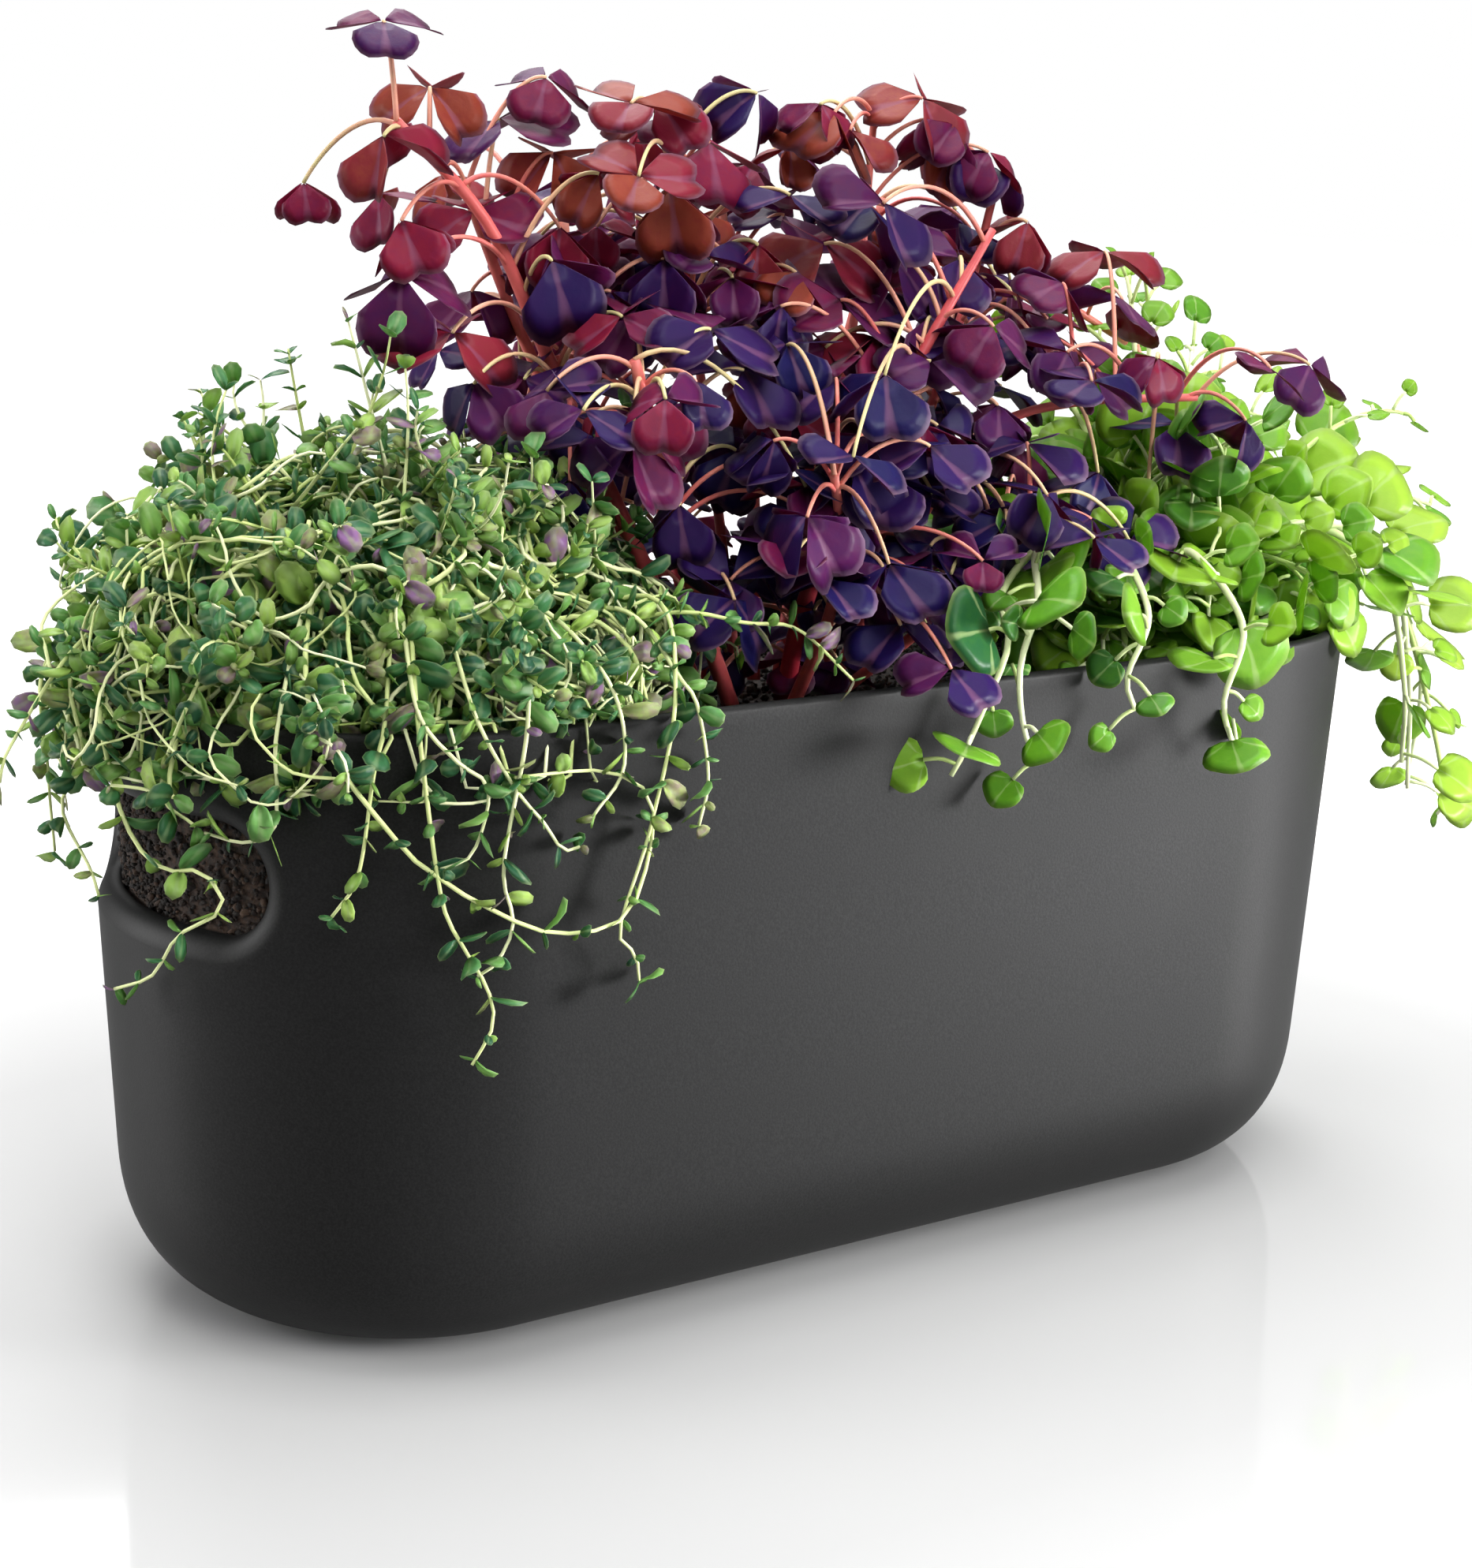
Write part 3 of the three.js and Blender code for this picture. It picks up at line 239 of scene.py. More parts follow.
def leaves(plan, base, along, facing, length, width, fold, curl, ripple, tint, thickness=0.12):
    """Leaves on one plan. Each is folded along its midrib by fold, bent down by the angle curl over its
    length on a circle, waved along its edge, and set with its stalk at base, its midrib along one direction
    and its upper side towards another."""
    count = len(base)
    forward = unit(along)
    normal = unit(facing - (facing * forward).sum(-1, keepdims=True) * forward)
    side = np.cross(normal, forward)
    length, width, fold, curl, ripple, tint = (
        np.broadcast_to(np.asarray(value, float), count)[:, None]
        for value in (length, width, fold, curl, ripple, tint)
    )
    y = plan["y"] * width
    wave = ripple * np.sin(9 * plan["v"] + 30 * tint) * plan["u"] ** 2 * length
    rise = np.abs(y) * np.sin(fold) * length + wave + plan["lift"] * thickness
    bend = np.where(np.abs(curl) < 1e-3, 1e-3, curl)
    angle = bend * plan["x"]
    ahead = length * np.sin(angle) / bend + rise * np.sin(angle)
    up = -length * (1 - np.cos(angle)) / bend + rise * np.cos(angle)
    across = y * np.cos(fold) * length
    points = (base[:, None] + ahead[..., None] * forward[:, None] + across[..., None] * side[:, None]
              + up[..., None] * normal[:, None])
    size = plan["x"].size
    offset = size * np.arange(count)[:, None, None]
    groups = [(face[None] + offset).reshape(-1, face.shape[1]) for face in plan["faces"]]
    return surface(points, groups, tint=np.broadcast_to(tint, (count, size)).ravel(),
                   along=np.tile(plan["x"], count), across=np.tile(plan["v"], count),
                   rim=np.tile(plan["u"], count))


def points_along(paths, at):
    """The places and tangents at fractions of each path, by straight lines between its points."""
    steps = paths.shape[1]
    place = np.clip(at, 0, 1) * (steps - 1)
    low = np.minimum(place.astype(int), steps - 2)
    part = (place - low)[..., None]
    stem = np.arange(len(paths))[:, None]
    tangent, across, up = frames(paths)
    middle = paths[stem, low] * (1 - part) + paths[stem, low + 1] * part
    return middle, tangent[stem, low], across[stem, low], up[stem, low]


# Pot

def on_end_wall(side, arc, z, inset):
    """Points on an end wall: how far round from its middle, at which height and how far in."""
    length, width = half_sizes(z)
    angle, radius = arc / (POT_WIDTH / 2), width - inset
    x = side * (length - width + radius * np.cos(angle))
    return np.stack([x, side * radius * np.sin(angle), z], axis=-1)


def half_sizes(z, inset=0, floor=BASE_LEVEL, round_width=BASE_ROUND_WIDTH, round_height=BASE_ROUND_HEIGHT):
    """Half length and half width of a skin of the pot at height z: the rim's, less what the wall leans in,
    less the inset, less the tuck of a superellipse near its floor."""
    lean = (POT_HEIGHT - z) / (POT_HEIGHT - BASE_LEVEL)
    drop = np.clip(1 - (z - floor) / round_height, 0, 1)
    tuck = round_width * (1 - (1 - drop ** BASE_ROUND_POWER) ** (1 / BASE_ROUND_POWER))
    return (POT_LENGTH / 2 - END_LEAN * lean - inset - tuck,
            POT_WIDTH / 2 - SIDE_LEAN * lean - inset - tuck)


def beyond_rim(points):
    """How far points lie outside the rim's outline, seen from above, and the direction straight out."""
    length, width = half_sizes(POT_HEIGHT)
    run = np.clip(points[..., 0], width - length, length - width)
    offset = np.stack([points[..., 0] - run, points[..., 1], np.zeros_like(run)], axis=-1)
    return np.linalg.norm(offset, axis=-1) - width, unit(offset)


def clear_of_pot(points, margin=RIM_CLEARANCE):
    """Moves points that are too near the pot: over the rim they are raised, lower down they are pushed
    straight out or in, and inside the pot they stay over the soil."""
    beyond, out = beyond_rim(points)
    points = points.copy()
    inner = -POT_WALL - GRIP_LIP_DEPTH / 2 - margin
    over = (beyond > inner) & (beyond < margin)
    near_top = over & (points[..., 2] > POT_HEIGHT - RIM_ZONE)
    push = np.where(beyond > -POT_WALL, margin, inner) - beyond
    points += np.where(over & ~near_top, push, 0)[..., None] * out
    lowest = np.where(near_top, POT_HEIGHT + margin, np.where(beyond < margin, SOIL_TOP + 1, -np.inf))
    points[..., 2] = np.maximum(points[..., 2], lowest)
    return points


def oblong_ring(turns, straight):
    """The columns of an oblong ring, counter-clockwise from above. A column's point is the half distance of
    the ends' centres times its first number, plus the half width times its second, and the half width times
    its third."""
    run = np.linspace(1, -1, straight + 1)[1:-1]
    centre, along, out = [], [], []
    for side in (1, -1):
        centre += [np.full(len(turns), side), side * run]
        along += [side * np.cos(turns), 0 * run]
        out += [side * np.sin(turns), side + 0 * run]
    return np.concatenate(centre), np.concatenate(along), np.concatenate(out)


def outer_pot():
    """The tub: rings of an oblong, from the recess of the base pad up the outside, over the rim and down the
    inside, with a window left open at each end. In a window, rings that change from its edge to the grip's
    outline carry the skin over the rolled lip and back to the inside."""
    edge = WINDOW_ARC / (POT_WIDTH / 2)
    window_turns = np.linspace(-edge, edge, WINDOW_ARC // WINDOW_STEP * 2 + 1)
    flank = np.linspace(-np.pi / 2, -edge, FLANK_COLUMNS)
    turns = np.concatenate([flank[:-1], window_turns, -flank[::-1][1:]])
    centre, along, out = oblong_ring(turns, SIDE_COLUMNS)
    low, high = GRIP_LEVEL - WINDOW_RISE, GRIP_LEVEL + WINDOW_RISE
    window_levels = np.linspace(low, high, 2 * WINDOW_RISE // WINDOW_STEP + 1)
    shoulder = POT_HEIGHT - POT_WALL / 2
    quarter = np.linspace(0, np.pi / 2, ROUND_ROWS)

    def wall_levels(floor, height):
        rounding = floor + height * (1 - np.cos(quarter) ** (2 / BASE_ROUND_POWER))
        return np.concatenate([rounding, WALL_ROWS, window_levels, [high + 2.5, shoulder - 2.5]])

    inner_width, inner_height = BASE_ROUND_WIDTH - POT_WALL, BASE_ROUND_HEIGHT + BASE_LEVEL - FLOOR_LEVEL
    outside = wall_levels(BASE_LEVEL, BASE_ROUND_HEIGHT)
    inside = wall_levels(FLOOR_LEVEL, inner_height)[::-1]
    rim = np.linspace(0, np.pi, RIM_ROWS)
    tops = shoulder + POT_WALL / 2 * np.sin(rim)
    pad = np.repeat(np.array(half_sizes(BASE_LEVEL))[:, None] - PAD_MARGIN, 2, axis=1)
    length, width = np.concatenate([
        pad, half_sizes(outside), half_sizes(tops, POT_WALL / 2 * (1 - np.cos(rim))),
        half_sizes(inside, POT_WALL, FLOOR_LEVEL, inner_width, inner_height)], axis=1)[..., None]
    levels = np.concatenate([[BASE_LEVEL + PAD_RECESS, BASE_LEVEL], outside, tops, inside])
    level = levels[:, None] + 0 * along
    points = np.stack([(length - width) * centre + width * along, width * out, level], axis=-1)
    rows, columns = level.shape
    index = np.arange(rows * columns).reshape(rows, columns)
    after = np.roll(index, -1, axis=1)
    quads = np.stack([index[:-1], after[:-1], after[1:], index[1:]], axis=-1)
    kept = np.ones(quads.shape[:2], bool)
    outer_row = 2 + int(np.argmin(np.abs(outside - low)))
    inner_row = 2 + len(outside) + len(rim) + int(np.argmin(np.abs(inside - high)))
    up, wide = len(window_levels) - 1, len(window_turns) - 1
    first_columns = (len(flank) - 1, len(flank) - 1 + len(turns) + SIDE_COLUMNS - 1)
    extra = []
    patches = []
    count = rows * columns
    for side, first in zip((1, -1), first_columns):
        kept[outer_row:outer_row + up, first:first + wide] = False
        kept[inner_row:inner_row + up, first:first + wide] = False
        outer = index[outer_row:outer_row + up + 1, first:first + wide + 1]
        inner = index[inner_row:inner_row + up + 1, first:first + wide + 1][::-1]
        arc, rise = np.meshgrid(window_turns * POT_WIDTH / 2, window_levels - GRIP_LEVEL)
        rings = grip_rings(side, round_edge(arc), round_edge(rise))
        ids = count + np.arange(rings.shape[0] * rings.shape[1]).reshape(rings.shape[:2])
        count += ids.size
        ids = np.concatenate([round_edge(outer)[None], ids, round_edge(inner)[None]])
        later = np.roll(ids, -1, axis=1)
        patches.append(np.stack([ids[:-1], later[:-1], later[1:], ids[1:]], axis=-1).reshape(-1, 4))
        extra.append(rings.reshape(-1, 3))
    points = np.concatenate([points.reshape(-1, 3), *extra])
    return surface(points, [quads[kept], *patches, index[:1, ::-1], index[-1:]])


def round_edge(grid):
    """The numbers round the edge of a grid, counter-clockwise from its first one."""
    return np.concatenate([grid[0, :-1], grid[:-1, -1], grid[-1, :0:-1], grid[:0:-1, 0]])


def grip_rings(side, arc, rise):
    """Rings between a window's edge and the grip: each point keeps its foot on the grip's middle line and
    its direction from there, and takes its distance and its inset from the lip's profile."""
    run = GRIP_SPAN / 2 - GRIP_HEIGHT / 2
    foot = np.clip(arc, -run, run)
    away = np.hypot(arc - foot, rise)
    turn = np.arctan2(rise, arc - foot)
    mouth = GRIP_HEIGHT / 2 + GRIP_ROLL
    depth = GRIP_LIP_DEPTH - GRIP_LAND
    sweep = GRIP_ROLL_SWEEP * np.linspace(1, 0, ROLL_ROWS)
    roll_grow = GRIP_ROLL * (1 - np.cos(sweep)) / (1 - np.cos(GRIP_ROLL_SWEEP))
    roll_inset = depth * (1 - np.sin(sweep) / np.sin(GRIP_ROLL_SWEEP))
    back = [(0, 5.1), (0.15, 5.6), (0.6, 5.95), (1.5, 6), (3.5, 6), (4.6, 5.3), (5.6, 4.2), (7.5, 3.1)]
    blend = [away + (mouth - away) * share for share in (0.18, 0.36, 0.54, 0.7, 0.84, 0.94)]
    reach = blend + [np.full_like(away, GRIP_HEIGHT / 2 + grow) for grow in roll_grow]
    reach += [np.full_like(away, GRIP_HEIGHT / 2 + grow) for grow, _ in back]
    inset = [0] * len(blend) + list(roll_inset) + [inset for _, inset in back]
    reach += [away + (GRIP_HEIGHT / 2 + 7.5 - away) * share for share in (0.66, 0.33)]
    inset += [POT_WALL, POT_WALL]
    rings = []
    for far, depth_in in zip(reach, inset):
        rings.append(on_end_wall(side, foot + far * np.cos(turn), GRIP_LEVEL + far * np.sin(turn), depth_in))
    return np.array(rings)


# Soil

def crumbs(random, centres, sizes):
    """Angular crumbs of compost: an icosahedron whose corners are moved in or out at random, squashed and
    turned at random, at each centre."""
    golden = (1 + np.sqrt(5)) / 2
    corners = []
    for a in (-1, 1):
        for b in (-golden, golden):
            corners += [(0, a, b), (a, b, 0), (b, 0, a)]
    corners = unit(np.array(corners, float))
    near = np.linalg.norm(corners[:, None] - corners[None], axis=-1) < 1.1
    faces = [(i, j, k) for i in range(12) for j in range(12) for k in range(12)
             if i < j and i < k and near[i, j] and near[j, k] and near[k, i]
             and np.dot(np.cross(corners[j] - corners[i], corners[k] - corners[i]), corners[i]) > 0]
    faces = np.array(faces)
    count = len(centres)
    shape = corners * random.uniform(0.7, 1.25, (count, 12, 1)) * random.uniform(0.6, 1.2, (count, 1, 3))
    first = unit(random.normal(size=(count, 3)))
    second = unit(np.cross(first, random.normal(size=(count, 3))))
    turned = np.stack([first, second, np.cross(first, second)], axis=1)
    points = centres[:, None] + np.einsum("nci,nij->ncj", shape, turned) * sizes[:, None, None] / 2
    index = (faces[None] + 12 * np.arange(count)[:, None, None]).reshape(-1, 3)
    return surface(points, [index], tint=np.repeat(random.uniform(0, 1, count), 12))


def soil_surface_crumbs(random, count):
    """Crumbs over the bed: spread evenly over the oblong inside the pot, half sunk in it."""
    length, width = half_sizes(SOIL_TOP, SOIL_INSET + SOIL_EDGE / 2)
    x = random.uniform(-length, length, 3 * count)
    y = random.uniform(-width, width, 3 * count)
    run = np.maximum(0, np.abs(x) - (length - width))
    kept = np.nonzero(np.hypot(run, y) < width)[0][:count]
    sizes = random.lognormal(np.log(1.7), 0.4, len(kept)).clip(0.7, 4.2)
    heaped = 1.2 * np.sin(x[kept] / 13) * np.cos(y[kept] / 9)
    z = SOIL_TOP + 0.15 * sizes + np.maximum(heaped, -0.2)
    return crumbs(random, np.stack([x[kept], y[kept], z], axis=-1), sizes)


def grip_crumbs(random, side, count):
    """Crumbs on the soil's face behind a grip, spread over the grip's outline."""
    arc = random.uniform(-GRIP_SPAN / 2, GRIP_SPAN / 2, count)
    rise = random.uniform(-GRIP_HEIGHT / 2, GRIP_HEIGHT / 2, count)
    sizes = random.lognormal(np.log(1.15), 0.35, count).clip(0.5, 2.4)
    return crumbs(random, on_end_wall(side, arc, GRIP_LEVEL + rise, SOIL_INSET - 0.12 * sizes), sizes)


# Herbs

def by_the_rim(places):
    """Points by the rim: how far round from the middle of the front, how far out, and how high over it."""
    around, out, height = np.asarray(places, float).T
    length, width = half_sizes(POT_HEIGHT)
    straight = np.minimum(np.abs(around), length - width)
    turn = (np.abs(around) - straight) / width
    x = np.sign(around) * (straight + (width + out) * np.sin(turn))
    return np.stack([x, -(width + out) * np.cos(turn), POT_HEIGHT + height], axis=-1)


def dome_scale(points, middle, radii, power):
    """How far out points lie in a dome, 1 on its skin: the power-norm of their offset over its radii."""
    return (np.abs((points - middle) / radii) ** power).sum(-1) ** (1 / power)


def over_dome(random, count, low, high):
    """Directions spread evenly over a dome: a turn round, a rise whose sine goes from low to high, and the
    direction that they give."""
    around = random.uniform(0, 2 * np.pi, count)
    rise = np.arcsin(random.uniform(low, high, count))
    out = np.stack([np.cos(around) * np.cos(rise), np.sin(around) * np.cos(rise), np.sin(rise)], axis=-1)
    return around, rise, out


def runners(random, middle, radii, power, count, steps, stride, deep, skin, wander, lowest):
    """Stems that wander over a dome. Each goes on by equal strides, turns a little at random at each of its
    knots, and is drawn to its own depth under the dome's lumpy skin, from a deeper start."""
    middle, radii = np.array(middle, float), np.array(radii, float)
    around, rise, out = over_dome(random, count, 0.05, 1)
    heading = np.stack([np.cos(around), np.sin(around), 0.4 * np.cos(rise)], axis=-1)
    depth = random.uniform(*skin, count)
    place = middle + radii * out * deep
    turning = np.zeros(count)
    paths = [place]
    for k in range(1, steps):
        outward = unit((place - middle) / radii ** 2)
        turning = 0.5 * turning + random.normal(0, wander, count)
        heading = unit(heading - (heading * outward).sum(-1, keepdims=True) * outward)
        swung = np.cross(outward, heading)
        heading = heading * np.cos(turning)[:, None] + swung * np.sin(turning)[:, None]
        place = place + heading * stride
        share = min(1.0, k / (0.45 * steps))
        lumps = 1 + 0.08 * np.sin(place[:, 0] / 11) * np.sin(place[:, 1] / 9 + place[:, 2] / 13)
        wanted = lumps * (deep + (depth - deep) * share)
        place = middle + (place - middle) * (wanted / dome_scale(place, middle, radii, power))[:, None]
        place[:, 2] = np.maximum(place[:, 2], lowest)
        paths.append(place)
    return clear_of_pot(np.stack(paths, axis=1))


def thyme_leaves(random, plan, paths, at, size, middle):
    """Leaves in opposite pairs at fractions of each stem, each pair turned a quarter from the last, their
    upper sides towards the stem's tip and outwards from the herb."""
    place, tangent, across, up = points_along(paths, at)
    stems, pairs = at.shape
    quarter = (np.arange(pairs) * np.pi / 2 + random.uniform(0, np.pi, (stems, 1)))[..., None]
    quarter = quarter + random.normal(0, 0.25, quarter.shape)
    sideways = across * np.cos(quarter) + up * np.sin(quarter)
    outward = unit(place - np.array(middle, float))
    shapes = []
    for side in (1, -1):
        along = side * sideways + tangent * random.uniform(0.2, 0.9, (stems, pairs, 1)) + 0.25 * outward
        facing = tangent + 1.1 * outward + random.normal(0, 0.45, place.shape)
        count = stems * pairs
        length = size * (0.42 + 0.78 * random.uniform(0, 1, (stems, pairs)) ** 1.5) * (1.1 - 0.4 * at)
        shapes.append(leaves(
            plan, place.reshape(-1, 3), along.reshape(-1, 3), facing.reshape(-1, 3), length.ravel(),
            random.uniform(0.85, 1.15, count), random.uniform(-0.15, 0.5, count),
            random.uniform(-0.3, 0.9, count), 0, random.uniform(0, 1, count)))
    return shapes


def thyme_reach(v):
    """An ovate outline as a fan: longest ahead, with a short point at the tip."""
    return 0.2 + 0.8 * np.cos(v * np.pi / 2) ** 1.4


def leaflet_reach(v):
    """A heart-shaped outline as a fan: broad, with a notch at its tip."""
    return 0.14 + 0.86 * np.cos(v * np.pi / 2) ** 0.36 * (1 - 0.2 * np.exp(-(v / 0.2) ** 2))


def cress_reach(v):
    """A round outline as a fan, with shallow scallops along its edge."""
    return (0.22 + 0.78 * np.cos(v * np.pi / 2) ** 0.62) * (1 + 0.025 * np.cos(4 * np.pi * v))


THYME_PLAN = leaf_plan(2, 8, np.radians(57), thyme_reach)
THYME_INNER_PLAN = leaf_plan(2, 4, np.radians(57), thyme_reach)
LEAFLET_PLAN = leaf_plan(3, 14, np.radians(58), leaflet_reach)
CRESS_PLAN = leaf_plan(3, 20, np.radians(98), cress_reach)

# Strands of thyme over the rim, by the rim: round, out and over it.
THYME_STRANDS = [
    [(-128, -14, 24), (-127, 5, 4), (-123, 6, -31), (-119, 6, -42), (-114, 6, -52), (-113, 6, -60),
     (-117, 6, -68)],
    [(-152, -14, 24), (-146, 6, 4), (-131, 6, -20), (-123, 6, -28), (-115, 6, -34), (-102, 7, -41),
     (-86, 7, -41), (-79, 6, -31), (-78, 6, -16), (-89, 5, -9), (-109, 6, -8)],
    [(-196, -12, 24), (-194, 6, 6), (-191, 7, -13), (-185, 7, -25), (-177, 7, -30), (-168, 7, -29),
     (-164, 7, -36), (-175, 6, -44), (-182, 6, -54), (-194, 6, -60)],
    [(-206, -12, 26), (-204, 7, 8), (-201, 7, -11), (-211, 8, -24), (-200, 7, -35), (-197, 7, -40)],
    [(-225, -12, 24), (-226, 7, 4), (-222, 8, -20), (-218, 8, -36)],
    [(-153, -14, 24), (-153, 5, 2), (-153, 6, -11), (-154, 6, -19), (-160, 6, -22), (-168, 6, -21)],
    [(-100, -14, 22), (-106, 5, 4), (-111, 6, -26), (-109, 6, -38), (-112, 6, -46), (-116, 6, -49)],
    [(-66, -16, 22), (-72, 5, 6), (-78, 6, -22), (-85, 6, -43), (-81, 6, -49), (-80, 6, -55)],
    [(-132, -14, 24), (-133, 5, 4), (-135, 6, -6), (-138, 6, -27), (-143, 6, -36)],
    [(-120, -14, 22), (-116, 5, 4), (-109, 6, -10), (-103, 6, -18), (-99, 6, -24), (-95, 6, -24)],
    [(-74, -16, 20), (-70, 4, 8), (-67, 6, 2), (-64, 6, -13), (-66, 6, -23)],
    [(-130, -12, 24), (-127, 5, 6), (-120, 6, -4), (-114, 6, -10), (-117, 6, -23), (-123, 6, -26)],
    [(-62, -16, 18), (-46, -8, 16), (-34, -6, 14), (-26, 4, 4)],
    [(-196, -20, 26), (-203, 4, 14), (-206, 20, -8), (-206, 23, -16)],
    [(-94, -18, 22), (-88, 4, 10), (-84, 5, -8), (-92, 6, -18)],
    [(-172, -14, 20), (-172, 5, 4), (-178, 6, -14), (-170, 6, -20)],
]


def sprigs(random, middle, radii, power, count, reach, steps):
    """Loose tips that leave a dome: from a little under its skin, half outwards and half along it, each on
    an arc that ends turned up or down."""
    middle, radii = np.array(middle, float), np.array(radii, float)
    out = over_dome(random, count, 0.02, 0.98)[2]
    start = middle + radii * out
    start = middle + (start - middle) * (0.84 / dome_scale(start, middle, radii, power))[:, None]
    heading = unit(0.7 * out + random.normal(0, 0.55, (count, 3)) + [0, 0, 0.15])
    length = reach * random.uniform(0.45, 1, (count, 1))
    end = start + heading * length
    end[:, 2] += (length * random.uniform(-0.45, 0.4, (count, 1)))[:, 0]
    pull = start + 0.4 * heading * length
    drop = start + 0.85 * heading * length + random.normal(0, 0.1, (count, 3)) * length
    return clear_of_pot(arcs(start, pull, drop, end, steps))


def thyme(random):
    """A dome of tangled stems with leaves in pairs, strands that hang over the rim, and loose sprigs."""
    dome = THYME_MIDDLE, THYME_RADII, THYME_POWER
    deep = runners(random, *dome, 110, 14, 5.5, 0.35, (0.62, 0.84), 0.4, 134)
    near = runners(random, *dome, 200, 24, 3.4, 0.5, (0.82, 1.0), 0.32, 134)
    over = runners(random, *dome, 100, 30, 3.2, 0.9, (0.94, 1.05), 0.3, 132)
    loose = sprigs(random, *dome, 120, 32, 10)
    hanging = np.stack([strand(places, THYME_MIDDLE, 34) for places in THYME_STRANDS])
    stems = [tubes(deep, 0.45, 4, random.uniform(0, 1, len(deep)))]
    thin = np.linspace(1, 0.6, near.shape[1])[None] * random.uniform(0.36, 0.7, (len(near), 1))
    stems.append(tubes(near, thin, 5, random.uniform(0, 1, len(near))))
    thin = np.linspace(1, 0.5, over.shape[1])[None] * random.uniform(0.36, 0.7, (len(over), 1))
    stems.append(tubes(over, thin, 5, random.uniform(0.3, 1, len(over))))
    stems.append(tubes(loose, np.linspace(0.5, 0.25, 10)[None], 5, random.uniform(0, 1, len(loose))))
    stems.append(tubes(hanging, np.linspace(0.62, 0.34, 34)[None], 6, random.uniform(0.2, 0.8, len(hanging))))
    shapes = []
    for plan, paths, pairs, first, size in (
        (THYME_PLAN, near, 9, 0.18, 1.0), (THYME_INNER_PLAN, deep, 7, 0.2, 1.0),
        (THYME_PLAN, over, 5, 0.3, 0.9), (THYME_PLAN, loose, 5, 0.3, 0.85),
        (THYME_PLAN, hanging, 13, 0.3, 0.95),
    ):
        at = spaced(random, len(paths), pairs, first, 1)
        shapes.append(merged(thyme_leaves(random, plan, paths, at, size * THYME_LEAF, THYME_MIDDLE)))
    return merged(stems), shapes[0], merged(shapes[1:])


def spaced(random, stems, count, first, last):
    """Fractions along each stem, evenly spaced and shifted a little at random."""
    step = (last - first) / (count - 1)
    return np.clip(np.linspace(first, last, count) + random.uniform(-0.3, 0.3, (stems, count)) * step, 0, 1)


def strand(places, middle, count):
    """A stem from inside its herb through places by the rim."""
    points = by_the_rim(places)
    start = points[:1] * 0.5 + np.array([middle], float) * 0.5
    return spline(np.concatenate([start, points]), count)


# Shoots of oxalis: places that each passes on its way from the crown, to the right, to the back and over
# the rim. The solid has the same ones.
OXALIS_SHOOTS = [
    [(-36, -2, 20), (-59, 0, 64), (-76, 0, 96), (-100, -4, 117)],
    [(-34, 12, 25), (-58, 14, 68), (-74, 16, 105)],
    [(-9, 6, 25), (-15, 10, 70), (-24, 10, 113)],
    [(22, 8, 25), (33, 12, 76), (36, 12, 120)],
    [(0, -20, 15), (18, -28, 60), (42, -28, 96)],
    [(-33, -22, 12), (-46, -28, 42), (-57, -31, 69)],
    [(38, -9, 24), (54, -17, 48), (71, -26, 55), (98, -41, 57)],
    [(52, 20, 35), (82, 25, 72), (105, 25, 76), (134, 26, 64)],
    [(-24, 32, 25), (-33, 35, 66), (-36, 36, 95)],
    [(-8, 34, 25), (-17, 35, 67), (-21, 36, 101)],
    [(34, 30, 35), (48, 34, 71), (56, 34, 101)],
    [(46, 6, 35), (60, 4, 75), (66, 2, 103)],
    [(-36, 18, 25), (-44, 30, 70), (-52, 34, 107)],
    [(-6, -36, 11), (-12, -46, 33), (-18, -52, 45)],
    [(30, -36, 11), (38, -44, 29), (46, -50, 37)],
    [(14, 26, 31), (12, 34, 75), (8, 38, 107)],
]
# Leaf stalks that stand free: the shoot that each leaves, how far up it, and the place of its leaf.
OXALIS_STALKS = [
    (0, 1, (-101, 0, 137)), (0, 0.98, (-104, -6, 114)), (0, 0.93, (-88, 4, 124)), (0, 0.85, (-101, -8, 97)),
    (0, 0.72, (-102, -10, 86)), (0, 0.62, (-91, -12, 74)), (0, 0.5, (-90, -20, 64)),
    (1, 0.98, (-56, 10, 127)), (1, 0.9, (-65, 15, 118)), (1, 0.85, (-57, 5, 111)),
    (5, 1, (-17, -40, 41)), (5, 0.97, (-78, -30, 63)),
    (5, 0.95, (-64, -42, 53)), (2, 0.97, (-30, 5, 123)), (2, 0.92, (-50, -20, 107)), (3, 1, (19, 5, 121)),
    (3, 0.98, (45, 5, 125)), (3, 0.93, (51, 0, 119)), (3, 0.85, (58, -5, 113)), (4, 0.97, (7, -32, 102)),
    (4, 0.85, (-4, -50, 66)), (4, 0.8, (34, -40, 75)), (4, 0.7, (-19, -60, 50)), (13, 0.9, (-32, -62, 38)),
    (6, 0.4, (36, -60, 39)), (6, 0.75, (56, -50, 63)), (6, 0.98, (106, -50, 52)), (7, 0.9, (112, 4, 77)),
    (14, 0.95, (71, -50, 25)), (14, 0.8, (28, -56, 33)), (13, 0.95, (-8, -60, 26)), (14, 0.6, (16, -52, 21)),
    (13, 0.55, (-7, -64, 13)), (13, 0.45, (-5, -80, 6)),
]

